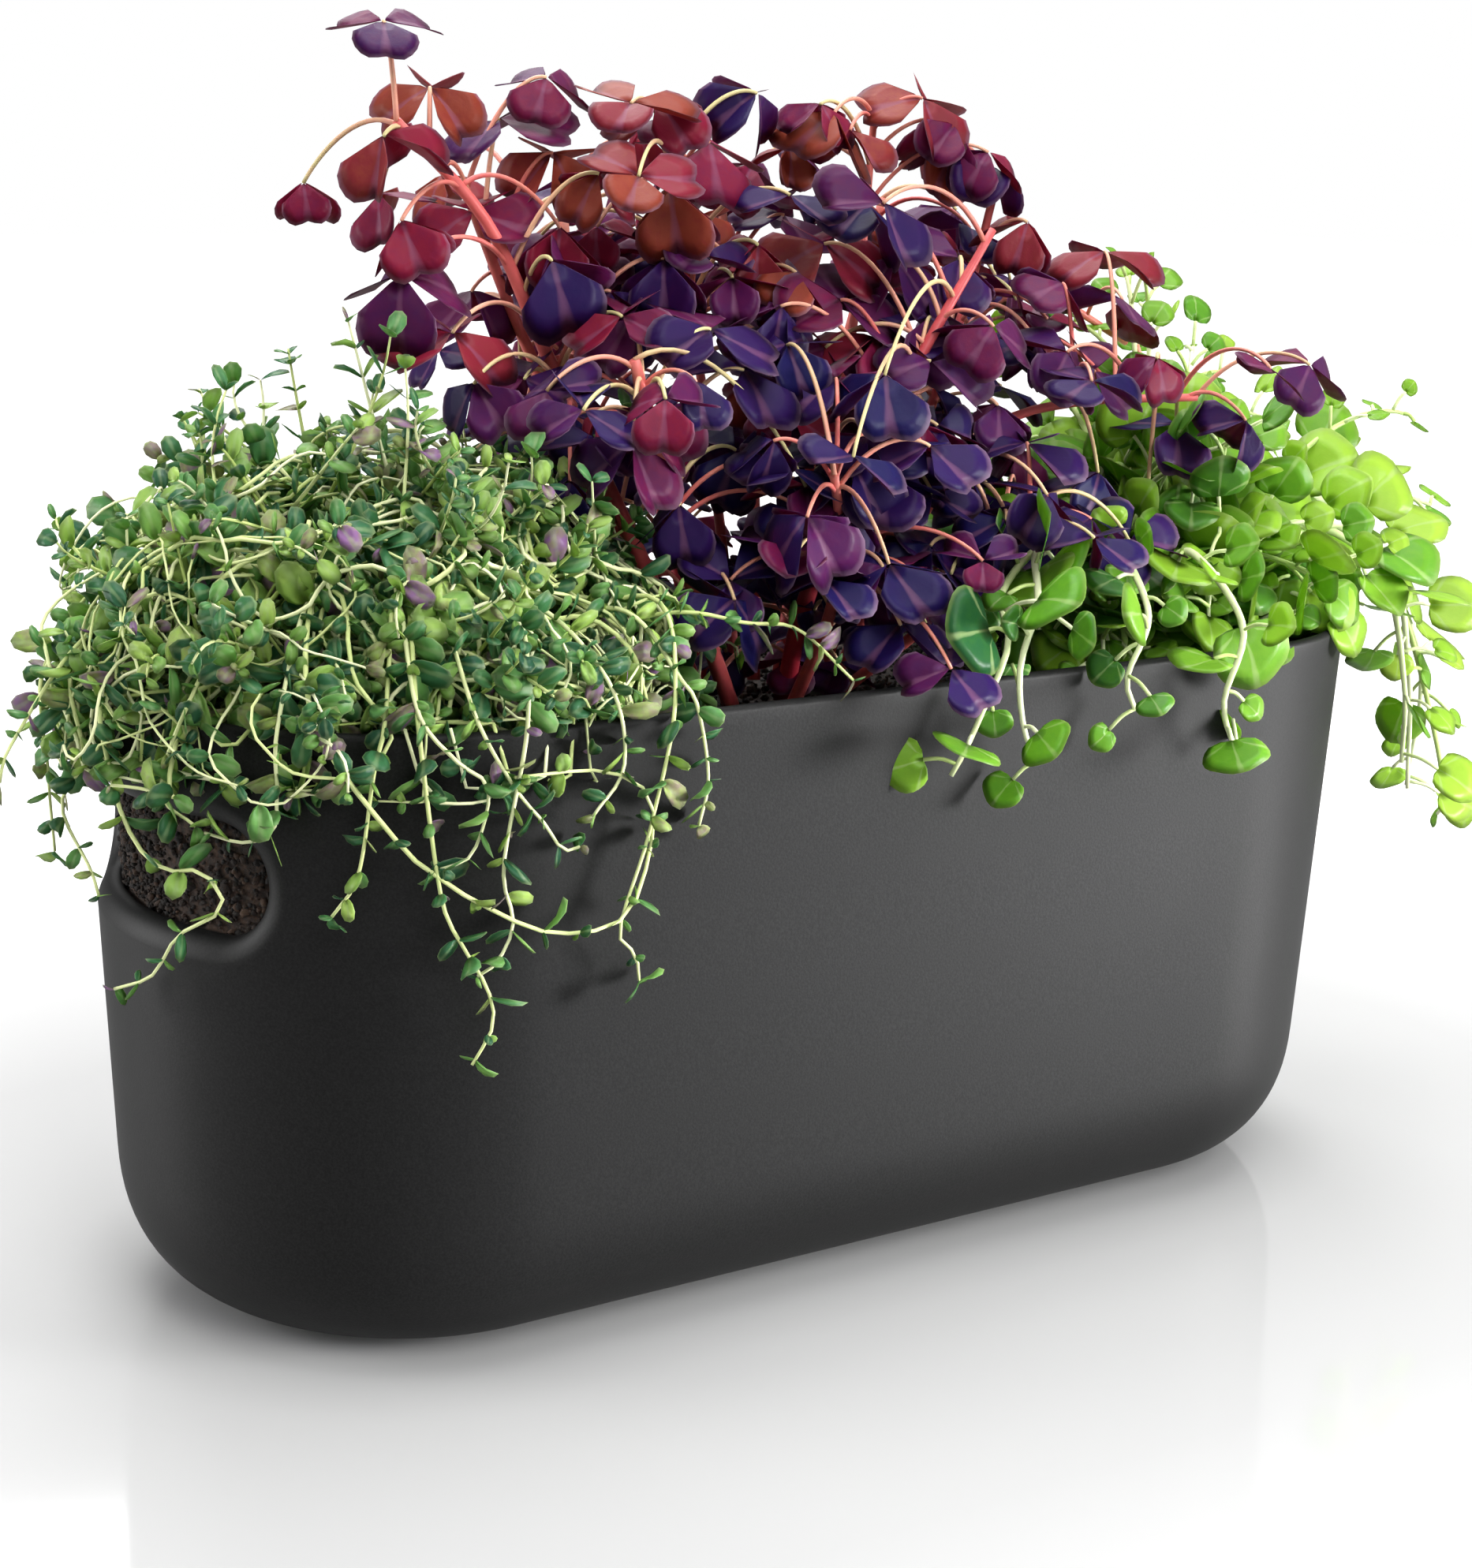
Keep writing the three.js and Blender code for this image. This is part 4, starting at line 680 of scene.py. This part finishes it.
# Places of more leaves, over the middle of the rim. Each one's stalk comes from the nearest shoot below it.
OXALIS_LEAVES = [
    (67, -10, 97), (71, -20, 83), (89, -14, 90), (55, 5, 115), (62, 0, 110), (74, -30, 63), (74, -34, 39),
    (102, -30, 49), (94, -30, 20), (15, 5, 123), (39, -20, 89), (-40, 0, 122), (-54, -10, 107),
    (-19, 0, 114), (-38, -14, 104), (-3, 5, 125), (-6, -14, 103), (-68, -14, 89), (16, -14, 101),
    (-7, -36, 64), (-29, -44, 52), (0, -46, 44), (21, -34, 67), (41, -44, 34), (33, -44, 20),
    (-37, -30, 75), (-57, -36, 59), (54, -44, 24), (-27, -52, 29), (0, -56, 24), (-65, -30, 52),
    (-48, -36, 38), (-42, -50, 19), (46, -40, 48), (-13, -12, 92), (-5, -16, 86), (7, -10, 92),
    (-13, -22, 79), (-21, -14, 85), (5, -20, 80), (11, -26, 72), (-15, -28, 71), (-27, -10, 90),
    (23, -16, 89), (28, -24, 76), (-38, -12, 89), (-51, -20, 77), (-28, -30, 66), (17, -38, 53),
    (30, -40, 40),
]


def evenly(counts, prime):
    """Numbers from 0 to 1 that are spread evenly: the fractions of the multiples of a prime's square root."""
    return counts * np.sqrt(prime) % 1


def trefoils(random, place, counts, redness_and_painted_top_light, scale):
    """Three heart-shaped leaflets at each stalk's end, a third of a turn apart, that droop and fold. The
    stalk's count gives the lean, the turn, the droop and the size, as in the solid."""
    side = 2 * np.pi * evenly(counts, 2)
    lean = place[:, :2] * [1, 2] / HERB_SPACING - [0, 0.8]
    level = TREFOIL_LEAN * unit(lean) + TREFOIL_SCATTER * np.stack([np.cos(side), np.sin(side)], axis=-1)
    axis = unit(np.concatenate([level, np.ones((len(place), 1))], axis=1))
    first = unit(np.cross([0, 1.0, 0], axis))
    second = np.cross(axis, first)
    size = scale * OXALIS_LEAFLET * (0.85 + 0.35 * evenly(counts, 3))
    shapes = []
    for k in range(3):
        turn = (2 * np.pi * (evenly(counts, 5) + k / 3) + random.normal(0, 0.08, len(place)))[:, None]
        low = (0.1 + evenly(counts, 7) + random.normal(0, 0.1, len(place)))[:, None]
        ahead = first * np.cos(turn) + second * np.sin(turn)
        along = ahead * np.cos(low) - axis * np.sin(low)
        facing = axis * np.cos(low) + ahead * np.sin(low)
        # The tint carries painted light: it is redder and lighter for higher leaves.
        tint = np.clip(redness_and_painted_top_light + random.normal(0, 0.12, len(place)), 0, 1)
        shapes.append(leaves(
            LEAFLET_PLAN, place + 0.4 * ahead, along, facing, size * random.uniform(0.9, 1.1, len(place)),
            random.uniform(0.9, 1.12, len(place)), random.uniform(0.02, 0.6, len(place)),
            random.uniform(-0.25, 0.5, len(place)), 0.01, tint, 0.16))
    return shapes


def oxalis(random):
    """Fleshy shoots from a crown, thin leaf stalks that arch away from them, and trefoils."""
    steps = 26
    shoots = []
    for places in OXALIS_SHOOTS:
        points = np.array(places, float) + [0, 0, POT_HEIGHT]
        share = min(0.5, 0.7 * OXALIS_CROWN / np.hypot(*points[0, :2]))
        foot = [*(share * points[0, :2]), SOIL_TOP + OXALIS_STEM]
        shoots.append(spline([foot, *points], steps))
    shoots = np.stack(shoots)
    thick = np.linspace(1, 0.6, steps)[None] * OXALIS_STEM * random.uniform(0.65, 1.05, (len(shoots), 1))
    thick[0], thick[4] = np.linspace(2.3, 1.1, steps), np.linspace(2.7, 0.9, steps) ** 0.9
    stems = [tubes(shoots, thick, 10, random.uniform(0.1, 0.5, len(shoots)))]
    level = [0, 0, POT_HEIGHT]
    wanted = np.array(OXALIS_LEAVES, float) + level
    apart = np.linalg.norm(shoots[None] + [0, 0, 12] - wanted[:, None, None], axis=-1)
    nearest = apart.reshape(len(wanted), -1).argmin(axis=1)
    owners, shares, tips = zip(*OXALIS_STALKS)
    listed, grown = len(OXALIS_STALKS), OXALIS_ROUNDS * len(shoots)
    more = np.arange(grown)
    number = listed + more
    counts = np.arange(listed + grown + len(wanted))
    owner = np.concatenate([owners, more % len(shoots), nearest // steps])
    inner = more >= (OXALIS_ROUNDS - OXALIS_LOW_ROUNDS) * len(shoots)
    spread = np.where(inner, 0.12 + 0.5 * evenly(number, 11), 0.42 + 0.58 * evenly(number, 11))
    high = np.concatenate([shares, spread, nearest % steps / (steps - 1)])
    starts = points_along(shoots[owner], high[:, None])[0][:, 0]
    turn = np.pi * (3 - np.sqrt(5)) * more
    reach = 12 + 22 * evenly(number, 13)
    leap = np.stack([reach * np.cos(turn), reach * np.sin(turn), 30 * evenly(number, 17) - 14], axis=-1)
    ends = np.concatenate([np.array(tips, float) + level, starts[listed:listed + grown] + leap, wanted])
    scale = np.where((counts >= listed + 3 * len(shoots)) & (counts < listed + grown), 0.78, 1)
    span = np.linalg.norm(ends - starts, axis=-1)[:, None] * [[0, 0, 1.0]]
    pull = starts + 0.35 * (ends - starts) + 0.38 * span
    drop = starts + 0.8 * (ends - starts) + 0.2 * span
    stalks = clear_of_pot(arcs(starts, pull, drop, ends, 16))
    stems.append(tubes(stalks, np.linspace(0.62, 0.42, 16)[None], 6, random.uniform(0.45, 1, len(stalks))))
    tip = stalks[:, -1]
    # Higher leaves are painted redder and lighter and lower ones darker blue-violet, as lit from above and
    # shaded below; the random part is the leaves' own variety.
    redness_and_painted_top_light = 0.08 + 0.6 * np.clip((tip[:, 2] - 170) / 95, 0, 1) + random.normal(0, 0.22, len(tip))
    return merged(stems), merged(trefoils(random, tip, counts, np.clip(redness_and_painted_top_light, 0, 1), scale))


# Strands of cress over the rim, by the rim: round, out and over it.
CRESS_STRANDS = [
    [(168, -16, 26), (176, 6, 20), (183, 26, -6), (186, 42, -42), (187, 48, -62)],
    [(150, -14, 24), (158, 8, 12), (163, 18, -18), (165, 20, -40)],
    [(50, -24, 24), (24, -8, 18), (14, 7, 9), (8, 8, -3), (3, 8, -13), (-1, 8, -19)],
    [(70, -20, 22), (56, 6, 12), (48, 9, -1), (52, 8, -9)],
    [(180, -16, 28), (186, 10, 20), (190, 34, -10), (194, 44, -30), (192, 40, -56)],
    [(86, -14, 22), (84, 8, 8), (79, 9, -10), (86, 8, -24)],
    [(160, -12, 24), (168, 12, 12), (176, 24, -18), (174, 26, -50)],
    [(44, -20, 24), (26, 2, 16), (17, 8, 4), (19, 8, -10), (24, 8, -19)],
    [(190, -10, 30), (204, 14, 24), (214, 28, 14)],
]
# Tips of the longest shoots of cress, over the middle of the herb.
CRESS_REACHES = [
    (12, 24, 89), (22, 26, 82), (38, 24, 70), (49, 24, 63), (63, 20, 50), (82, -14, 54), (78, 6, 38),
    (66, 10, 30), (-12, 36, 66), (4, 34, 76), (28, 34, 62), (52, 36, 50), (70, 24, 42), (88, -20, 30),
    (84, 10, 16),
]


def cress_leaves(random, paths, at, size, middle):
    """Round leaves on short stalks, in turns round each stem, with their upper sides to the light, and
    painted lighter the further right they stand.
    """
    place, tangent, across, up = points_along(paths, at)
    stems, count = at.shape
    turn = (np.arange(count) * np.pi * (3 - np.sqrt(5)) + random.uniform(0, 2 * np.pi, (stems, 1)))[..., None]
    outward = unit(place - np.array(middle, float))
    away = unit(across * np.cos(turn) + up * np.sin(turn) + 0.5 * tangent + 0.4 * outward)
    reach = size * random.uniform(0.25, 0.65, (stems, count, 1))
    start = place.reshape(-1, 3)
    away = away.reshape(-1, 3)
    end = clear_of_pot(start + away * reach.reshape(-1, 1) + [0, 0, 1.5], 3)
    bent = 0.5 * (start + end) + [0, 0, 1.0]
    stalks = arcs(start, bent, bent, end, 6)
    total = stems * count
    # The tint is partly random and partly painted light: leaves further right (+X) are painted lighter, as
    # lit from the right, and those on the left darker.
    tint = 0.55 * random.uniform(0, 1, total) + 0.4 * np.clip((start[:, 0] - 40) / 140, 0, 1)
    facing = (np.array([-0.25, -0.55, 0.75]) + 0.5 * outward.reshape(-1, 3)
              + random.normal(0, 0.38, (total, 3)))
    length = size * ((0.42 + 0.66 * random.uniform(0, 1, (stems, count)) ** 1.3) * (1.1 - 0.4 * at)).ravel()
    blades = leaves(
        CRESS_PLAN, end, away + 0.35 * outward.reshape(-1, 3), facing, length,
        random.uniform(0.9, 1.08, total), random.uniform(-0.12, 0.3, total),
        random.uniform(-0.25, 0.7, total), 0.018, tint, 0.16)
    return tubes(stalks, 0.5, 5, random.uniform(0, 1, total)), blades


def cress(random):
    """Fleshy shoots that arch out of the herb's middle, strands over the rim, and round leaves."""
    middle = np.array(CRESS_MIDDLE, float)
    count, steps = 112, 18
    out = over_dome(random, count, 0, 1)[2]
    ends = middle + np.array(CRESS_RADII) * out * random.uniform(0.55, 1.0, (count, 1))
    ends = np.concatenate([ends, middle + np.array(CRESS_REACHES, float)])
    starts = middle + np.stack([*(random.normal(0, 1, (2, len(ends))) * [[15], [13]]),
                                np.full(len(ends), SOIL_TOP - middle[2])], axis=-1)
    span = np.linalg.norm(ends - starts, axis=-1)[:, None]
    pull = starts + 0.1 * (ends - starts) + 0.5 * span * [[0, 0, 1]]
    over = starts + 0.7 * (ends - starts) + 0.26 * span * [[0, 0, 1]]
    shoots = clear_of_pot(arcs(starts, pull, over, ends, steps))
    thin = np.linspace(1.0, 0.5, steps)[None]
    stems = [tubes(shoots, thin, 7, random.uniform(0, 1, len(shoots)))]
    hanging = np.stack([strand(places, CRESS_MIDDLE, 30) for places in CRESS_STRANDS])
    stems.append(tubes(hanging, np.linspace(1.25, 0.6, 30)[None], 7, random.uniform(0, 1, len(hanging))))
    blades = []
    for paths, leaf_count, first, size in (
        (shoots[:count], 6, 0.3, 1.0), (shoots[count:], 8, 0.3, 0.66), (hanging, 9, 0.3, 0.95),
    ):
        stalks, made = cress_leaves(random, paths, spaced(random, len(paths), leaf_count, first, 1),
                                    size * CRESS_LEAF, CRESS_MIDDLE)
        stems.append(stalks)
        blades.append(made)
    return merged(stems), merged(blades)


# Materials

def colour(hex_text):
    """An sRGB hex colour as linear red, green, blue and alpha."""
    srgb = np.array([int(hex_text[i:i + 2], 16) for i in (1, 3, 5)]) / 255
    linear = np.where(srgb <= 0.04045, srgb / 12.92, ((srgb + 0.055) / 1.055) ** 2.4)
    return (*linear.tolist(), 1.0)


def add_node(tree, kind, inputs=(), stops=(), give=0, **settings):
    """Adds a node and returns the output that give names. Inputs are values or other nodes' outputs, and
    stops are a ramp's places and colours."""
    made = tree.nodes.new("ShaderNode" + kind)
    for key, value in settings.items():
        setattr(made, key, value)
    for key, value in dict(inputs).items():
        if isinstance(value, bpy.types.NodeSocket):
            tree.links.new(value, made.inputs[key])
        else:
            made.inputs[key].default_value = value
    for i, (place, tone) in enumerate(stops):
        stop = made.color_ramp.elements[i] if i < 2 else made.color_ramp.elements.new(place)
        stop.position = place
        stop.color = colour(tone)
    return made.outputs[give] if len(made.outputs) else None


def new_nodes(owners, name):
    """A new material or world without nodes, and the function that adds nodes to it."""
    owner = owners.new(name)
    owner.use_nodes = True
    owner.node_tree.nodes.clear()
    return owner, partial(add_node, owner.node_tree)


def grained(name, grain_mm, noise, tones, bump, depth_mm, skin, cloud=0, tinted=False):
    """A skin whose grain gives its tones and its relief. In clouds the roughness goes up and down by cloud,
    and on tinted pieces the tone also differs from one to the next."""
    material, node = new_nodes(bpy.data.materials, name)
    place = node("TexCoord", give="Object")
    grain = node("TexNoise", {"Vector": place, "Scale": 1 / (grain_mm * METRE), **noise})
    mixed = grain
    if tinted:
        tint = node("Attribute", give="Fac", attribute_name="tint")
        mixed = node("Math", {0: grain, 1: tint, 2: 0.12}, operation="MULTIPLY_ADD")
    if cloud:
        clouds = node("TexNoise", {"Vector": place, "Scale": 18, "Detail": 3})
        level = skin["Roughness"]
        rough = node("MapRange", {"Value": clouds, "To Min": level - cloud, "To Max": level + cloud})
        skin = {**skin, "Roughness": rough}
    tone = node("ValToRGB", {"Fac": mixed}, tones)
    relief = node("Bump", {"Height": grain, "Strength": bump, "Distance": depth_mm * METRE})
    node("OutputMaterial", {
        "Surface": node("BsdfPrincipled", {"Base Color": tone, "Normal": relief, **skin})})
    return material


def moulded_plastic(name, dark, light, grain_mm, roughness, bump):
    """Injection-moulded polypropylene from a spark-eroded mould: an even, matt, fine-pebbled skin."""
    return grained(name, grain_mm, {"Detail": 2, "Roughness": 0.6}, [(0.35, dark), (0.68, light)], bump, 0.1,
                   {"Roughness": roughness, "IOR": 1.49, "Specular IOR Level": 0.2}, 0.03)


def compost(name, tinted):
    """Moist potting compost: peat and bark fibre, near-black brown with reddish crumbs and a dull sheen."""
    tones = [(0.18, "#0d0806"), (0.66, "#4c3627"), (0.45, "#241811")]
    noise = {"Detail": 8, "Roughness": 0.7}
    return grained(name, 1.6, noise, tones, 1.0, 0.9, {"Roughness": 0.82}, 0, tinted)


def leaf_skin(name, tones, vein, vein_count, vein_strength, edge, roughness, shine, through, translucency):
    """A living leaf: a waxy or velvety skin whose tone is picked by each leaf's tint (for cress and oxalis
    the tint also carries painted light), fine mottling, veins that fan out from the stalk, a thin edge
    painted lighter as a highlight, and light that comes through from behind."""
    material, node = new_nodes(bpy.data.materials, name)
    tint, across, rim = (
        node("Attribute", give="Fac", attribute_name=key) for key in ("tint", "across", "rim"))
    mottle = node("TexNoise", {
        "Vector": node("TexCoord", give="Object"), "Scale": 1 / (2.2 * METRE), "Detail": 5, "Roughness": 0.6})
    spread = node("Math", {0: mottle, 1: 0.22, 2: -0.11}, operation="MULTIPLY_ADD")
    picked = node("Math", {0: tint, 1: spread}, operation="ADD")
    shade = node("ValToRGB", {"Fac": picked}, tones)
    fan = node("Math", {0: across, 1: vein_count * np.pi}, operation="MULTIPLY")
    wave = node("Math", {0: fan}, operation="COSINE")
    # The veins take their own paler tone; the edge tone is a painted highlight along each leaf's outline.
    for value, most, tone in ((wave, vein_strength, vein), (rim, 0.5, edge)):
        part = node("MapRange", {"Value": value, "From Min": 0.9, "From Max": 1, "To Min": 0, "To Max": most})
        shade = node("Mix", {0: part, 6: shade, 7: colour(tone)}, give=2, data_type="RGBA")
    relief = node("Bump", {"Height": mottle, "Strength": 0.4, "Distance": 0.3 * METRE})
    skin = node("BsdfPrincipled", {
        "Base Color": shade, "Roughness": roughness, "Normal": relief, "IOR": 1.42,
        "Specular IOR Level": shine})
    behind = node("Mix", {0: 0.6, 6: shade, 7: colour(through)}, give=2, data_type="RGBA")
    glow = node("BsdfTranslucent", {"Color": behind})
    node("OutputMaterial", {"Surface": node("MixShader", {0: translucency, 1: skin, 2: glow})})
    return material


def stem_skin(name, tones, roughness):
    """A fleshy green stem: smooth and moist, with tones that change from stem to stem and along it."""
    material, node = new_nodes(bpy.data.materials, name)
    tint, along = (node("Attribute", give="Fac", attribute_name=key) for key in ("tint", "along"))
    streak = node("TexNoise", {
        "Vector": node("TexCoord", give="Object"), "Scale": 1 / (3 * METRE), "Detail": 4})
    grown = node("Math", {0: along, 1: 0.25, 2: tint}, operation="MULTIPLY_ADD")
    picked = node("Math", {0: streak, 1: 0.3, 2: grown}, operation="MULTIPLY_ADD")
    moved = node("Math", {0: picked, 1: 0.27}, operation="SUBTRACT")
    tone = node("ValToRGB", {"Fac": moved}, tones)
    relief = node("Bump", {"Height": streak, "Strength": 0.3, "Distance": 0.2 * METRE})
    node("OutputMaterial", {"Surface": node("BsdfPrincipled", {
        "Base Color": tone, "Roughness": roughness, "Normal": relief, "IOR": 1.4})})
    return material


# Studio, in metres

def stage_plane(name, corners, material):
    """One flat face of the studio."""
    mesh = bpy.data.meshes.new(name)
    mesh.from_pydata(corners, [], [(0, 1, 2, 3)])
    mesh.materials.append(material)
    plane = bpy.data.objects.new(name, mesh)
    bpy.context.scene.collection.objects.link(plane)


def white_board(name):
    """Glossy white lacquered board. For the camera it gets a painted white glow that grows with the distance
    from the pot's outline, so far away it goes over to plain white, and near the pot, where the glow is left
    out, it is painted darker and shows the shadow and a weak mirror image."""
    material, node = new_nodes(bpy.data.materials, name)
    run = METRE * (POT_LENGTH - POT_WIDTH) / 2
    folded = node("VectorMath", {0: node("TexCoord", give="Object")}, operation="ABSOLUTE")
    beyond = node("VectorMath", {0: folded, 1: (run, 0, 0)}, operation="SUBTRACT")
    outside = node("VectorMath", {0: beyond, 1: (0, 0, 0)}, operation="MAXIMUM")
    away = node("VectorMath", {0: outside}, give="Value", operation="LENGTH")
    # Painted glow for camera rays: none at the pot's outline, grey steps further out and full white far away,
    # so the floor near the pot is painted darker.
    painted_glow_ramp = node("ValToRGB", {"Fac": away}, [
        (0.045, "#000000"), (0.36, "#ffffff"), (0.08, "#727272"), (0.16, "#808080"), (0.24, "#a8a8a8")])
    lift = node("Math", {0: painted_glow_ramp, 1: node("LightPath", give="Is Camera Ray")}, operation="MULTIPLY")
    node("OutputMaterial", {"Surface": node("BsdfPrincipled", {
        "Base Color": colour("#acacac"), "Roughness": 0.08, "IOR": 1.7, "Emission Color": colour("#ffffff"),
        "Emission Strength": lift})})
    return material


def white_wall(name):
    """A wall that is plain white for the camera, pale in reflections and gives no other light."""
    material, node = new_nodes(bpy.data.materials, name)
    mirrored = node("Math", {0: node("LightPath", give="Is Glossy Ray"), 1: 0.2}, operation="MULTIPLY")
    seen = node("Math", {0: node("LightPath", give="Is Camera Ray"), 1: mirrored}, operation="MAXIMUM")
    glow = node("Emission", {"Color": colour("#ffffff"), "Strength": seen})
    node("OutputMaterial", {"Surface": glow})
    return material


def placed(right, up, back, place):
    """The matrix of something that looks along minus back."""
    matrix = Matrix.Identity(4)
    for column, vector in enumerate((right, up, back, place)):
        for row in range(3):
            matrix[row][column] = float(vector[row])
    return matrix


def soft_box(name, place, aim, size, power, spread):
    """A square lamp that looks at a point, with its light kept to a cone."""
    lamp = bpy.data.lights.new(name, "AREA")
    lamp.shape = "SQUARE"
    lamp.size = size
    lamp.energy = power
    lamp.spread = np.radians(spread)
    box = bpy.data.objects.new(name, lamp)
    bpy.context.scene.collection.objects.link(box)
    away = unit(np.array(place) - np.array(aim))
    right = unit(np.cross([0, 0, 1.0], away))
    box.matrix_world = placed(right, np.cross(away, right), away, place)


def studio():
    """A glossy white floor, a white wall behind, soft boxes and the camera."""
    far = 5.0
    stage_plane("studio_floor", [(-far, -far, 0), (far, -far, 0), (far, far, 0), (-far, far, 0)],
                white_board("white_lacquered_board"))
    stage_plane("studio_wall", [(-far, far, 0), (-far, far, far), (far, far, far), (far, far, 0)],
                white_wall("white_backdrop"))

    world, node = new_nodes(bpy.data.worlds, "studio")
    bpy.context.scene.world = world
    seen, through = (node("LightPath", give=key) for key in ("Is Camera Ray", "Is Transmission Ray"))
    white = node("Math", {0: seen, 1: through}, operation="MAXIMUM")
    dim, full = (node("Background", {"Color": colour("#ffffff"), "Strength": level}) for level in (0.5, 1))
    node("OutputWorld", {"Surface": node("MixShader", {0: white, 1: dim, 2: full})})

    soft_box("soft_box_top", (0.1, 0.1, 1.3), (0, 0, 0.1), 1.3, 14, 140)
    soft_box("soft_box_right", (0.5, -0.45, 0.1), (0.04, -0.07, 0.04), 0.3, 0.86, 32)
    soft_box("soft_box_left", (-0.75, 0.45, 0.25), (-0.16, 0, 0.07), 0.45, 0.8, 60)
    soft_box("soft_box_front", (-0.1, -1.2, 1.1), (0, 0, 0.2), 0.9, 1.9, 50)
    soft_box("soft_box_back", (0.3, 1.0, 1.1), (0.05, 0, 0.18), 0.8, 3.4, 100)

    eye = (-0.3623, -0.5257, 0.2639)
    azimuth, elevation, roll = -0.573, 0.2862, 0.0251
    level = np.cos(elevation)
    back = np.array([np.sin(azimuth) * level, -np.cos(azimuth) * level, np.sin(elevation)])
    right = unit(np.cross([0, 0, 1.0], back))
    up = np.cross(back, right)
    lens = bpy.data.cameras.new("camera")
    lens.sensor_width = 36
    lens.lens = 61.07
    lens.shift_x = 0.0389
    lens.shift_y = 0.0752
    camera = bpy.data.objects.new("camera", lens)
    bpy.context.scene.collection.objects.link(camera)
    camera.matrix_world = placed(right * np.cos(roll) + up * np.sin(roll),
                                 up * np.cos(roll) - right * np.sin(roll), back, eye)
    bpy.context.scene.camera = camera
    bpy.context.scene.view_settings.view_transform = "Standard"


studio()

pot_skin = moulded_plastic("black_polypropylene_fine_grain", "#0a0a0a", "#171717", 0.55, 0.54, 0.3)
make_piece("pot_shell", outer_pot(), pot_skin, "pot", "pot_plastic", "outer_pot")

# Needle-punched viscose felt: matt off-white, with fibres that lie every way.
felt = grained("viscose_felt", 0.8, {"Detail": 6, "Distortion": 2.5}, [(0.3, "#a9a293"), (0.7, "#dad6ca")],
               0.8, 0.4, {"Roughness": 0.95, "Sheen Weight": 0.3})
for node_name, finish in (
    ("base_pad", moulded_plastic("black_rubber_matt", "#0e0e0f", "#161617", 0.8, 0.85, 0.2)),
    ("planting_tray", moulded_plastic("charcoal_polypropylene", "#2b2c2e", "#38393c", 0.8, 0.6, 0.2)),
    ("potting_soil", compost("potting_compost", False)),
    ("wick_left", felt), ("wick_middle", felt), ("wick_right", felt),
):
    solid_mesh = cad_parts[node_name].data
    solid_mesh.materials.clear()
    solid_mesh.materials.append(finish)

random = np.random.default_rng(7)
crumb = compost("compost_crumbs", True)
make_piece("soil_crumbs", soil_surface_crumbs(random, 6500), crumb, "tray", "soil")
both_grips = merged([grip_crumbs(random, side, 1500) for side in (1, -1)])
make_piece("grip_soil_crumbs", both_grips, crumb, "tray", "soil")

stems, near_leaves, other_leaves = thyme(np.random.default_rng(11))
bark = stem_skin("thyme_stem", [(0.0, "#aabf62"), (1.0, "#eef0c4"), (0.5, "#d8e29c")], 0.5)
# b2c488 is a painted highlight along each thyme leaf's edge.
skin = leaf_skin("thyme_leaf", [
    (0.0, "#22503c"), (1.0, "#90629a"), (0.3, "#417c50"), (0.6, "#76a856"), (0.86, "#aecb66"),
    (0.94, "#988878")], "#b4c894", 1, 0.3, "#b2c488", 0.42, 0.4, "#a6cc58", 0.34)
make_piece("thyme_stems", stems, bark, "tray", "thyme", "thyme_plant")
make_piece("thyme_leaves", near_leaves, skin, "tray", "thyme")
make_piece("thyme_strand_leaves", other_leaves, skin, "tray", "thyme")

stems, blades = oxalis(np.random.default_rng(23))
bark = stem_skin("oxalis_stem", [
    (0.0, "#b22a3c"), (1.0, "#d2c48c"), (0.45, "#dc6a66"), (0.75, "#e0a088")], 0.42)
# b08aa6 is a painted highlight along each leaflet's edge; the ramp's blue-violet low end goes to the lower
# leaves as painted shade and its red high end to the higher ones as painted light.
skin = leaf_skin("oxalis_leaf", [
    (0.0, "#12104c"), (1.0, "#94402e"), (0.25, "#2e1152"), (0.5, "#5e154a"), (0.72, "#8a1838"),
    (0.9, "#862a30")], "#905c7c", 1, 0.4, "#b08aa6", 0.48, 0.28, "#c02042", 0.28)
make_piece("oxalis_stems", stems, bark, "tray", "oxalis", "oxalis_plant")
make_piece("oxalis_leaves", blades, skin, "tray", "oxalis")

stems, blades = cress(np.random.default_rng(37))
bark = stem_skin("cress_stem", [(0.0, "#b2cc70"), (1.0, "#e6edc0"), (0.5, "#cbdc98")], 0.4)
# b4d070 is a painted highlight along each leaf's edge; the ramp's dark green low end goes to leaves on the
# left and its light lime high end to those on the right, as painted side light.
skin = leaf_skin("cress_leaf", [
    (0.0, "#226034"), (1.0, "#b4d24e"), (0.35, "#66a42e"), (0.7, "#9ac638")],
    "#c4d894", 3, 0.45, "#b4d070", 0.38, 0.4, "#b0d23c", 0.4)
make_piece("cress_stems", stems, bark, "tray", "cress", "cress_plant")
make_piece("cress_leaves", blades, skin, "tray", "cress")
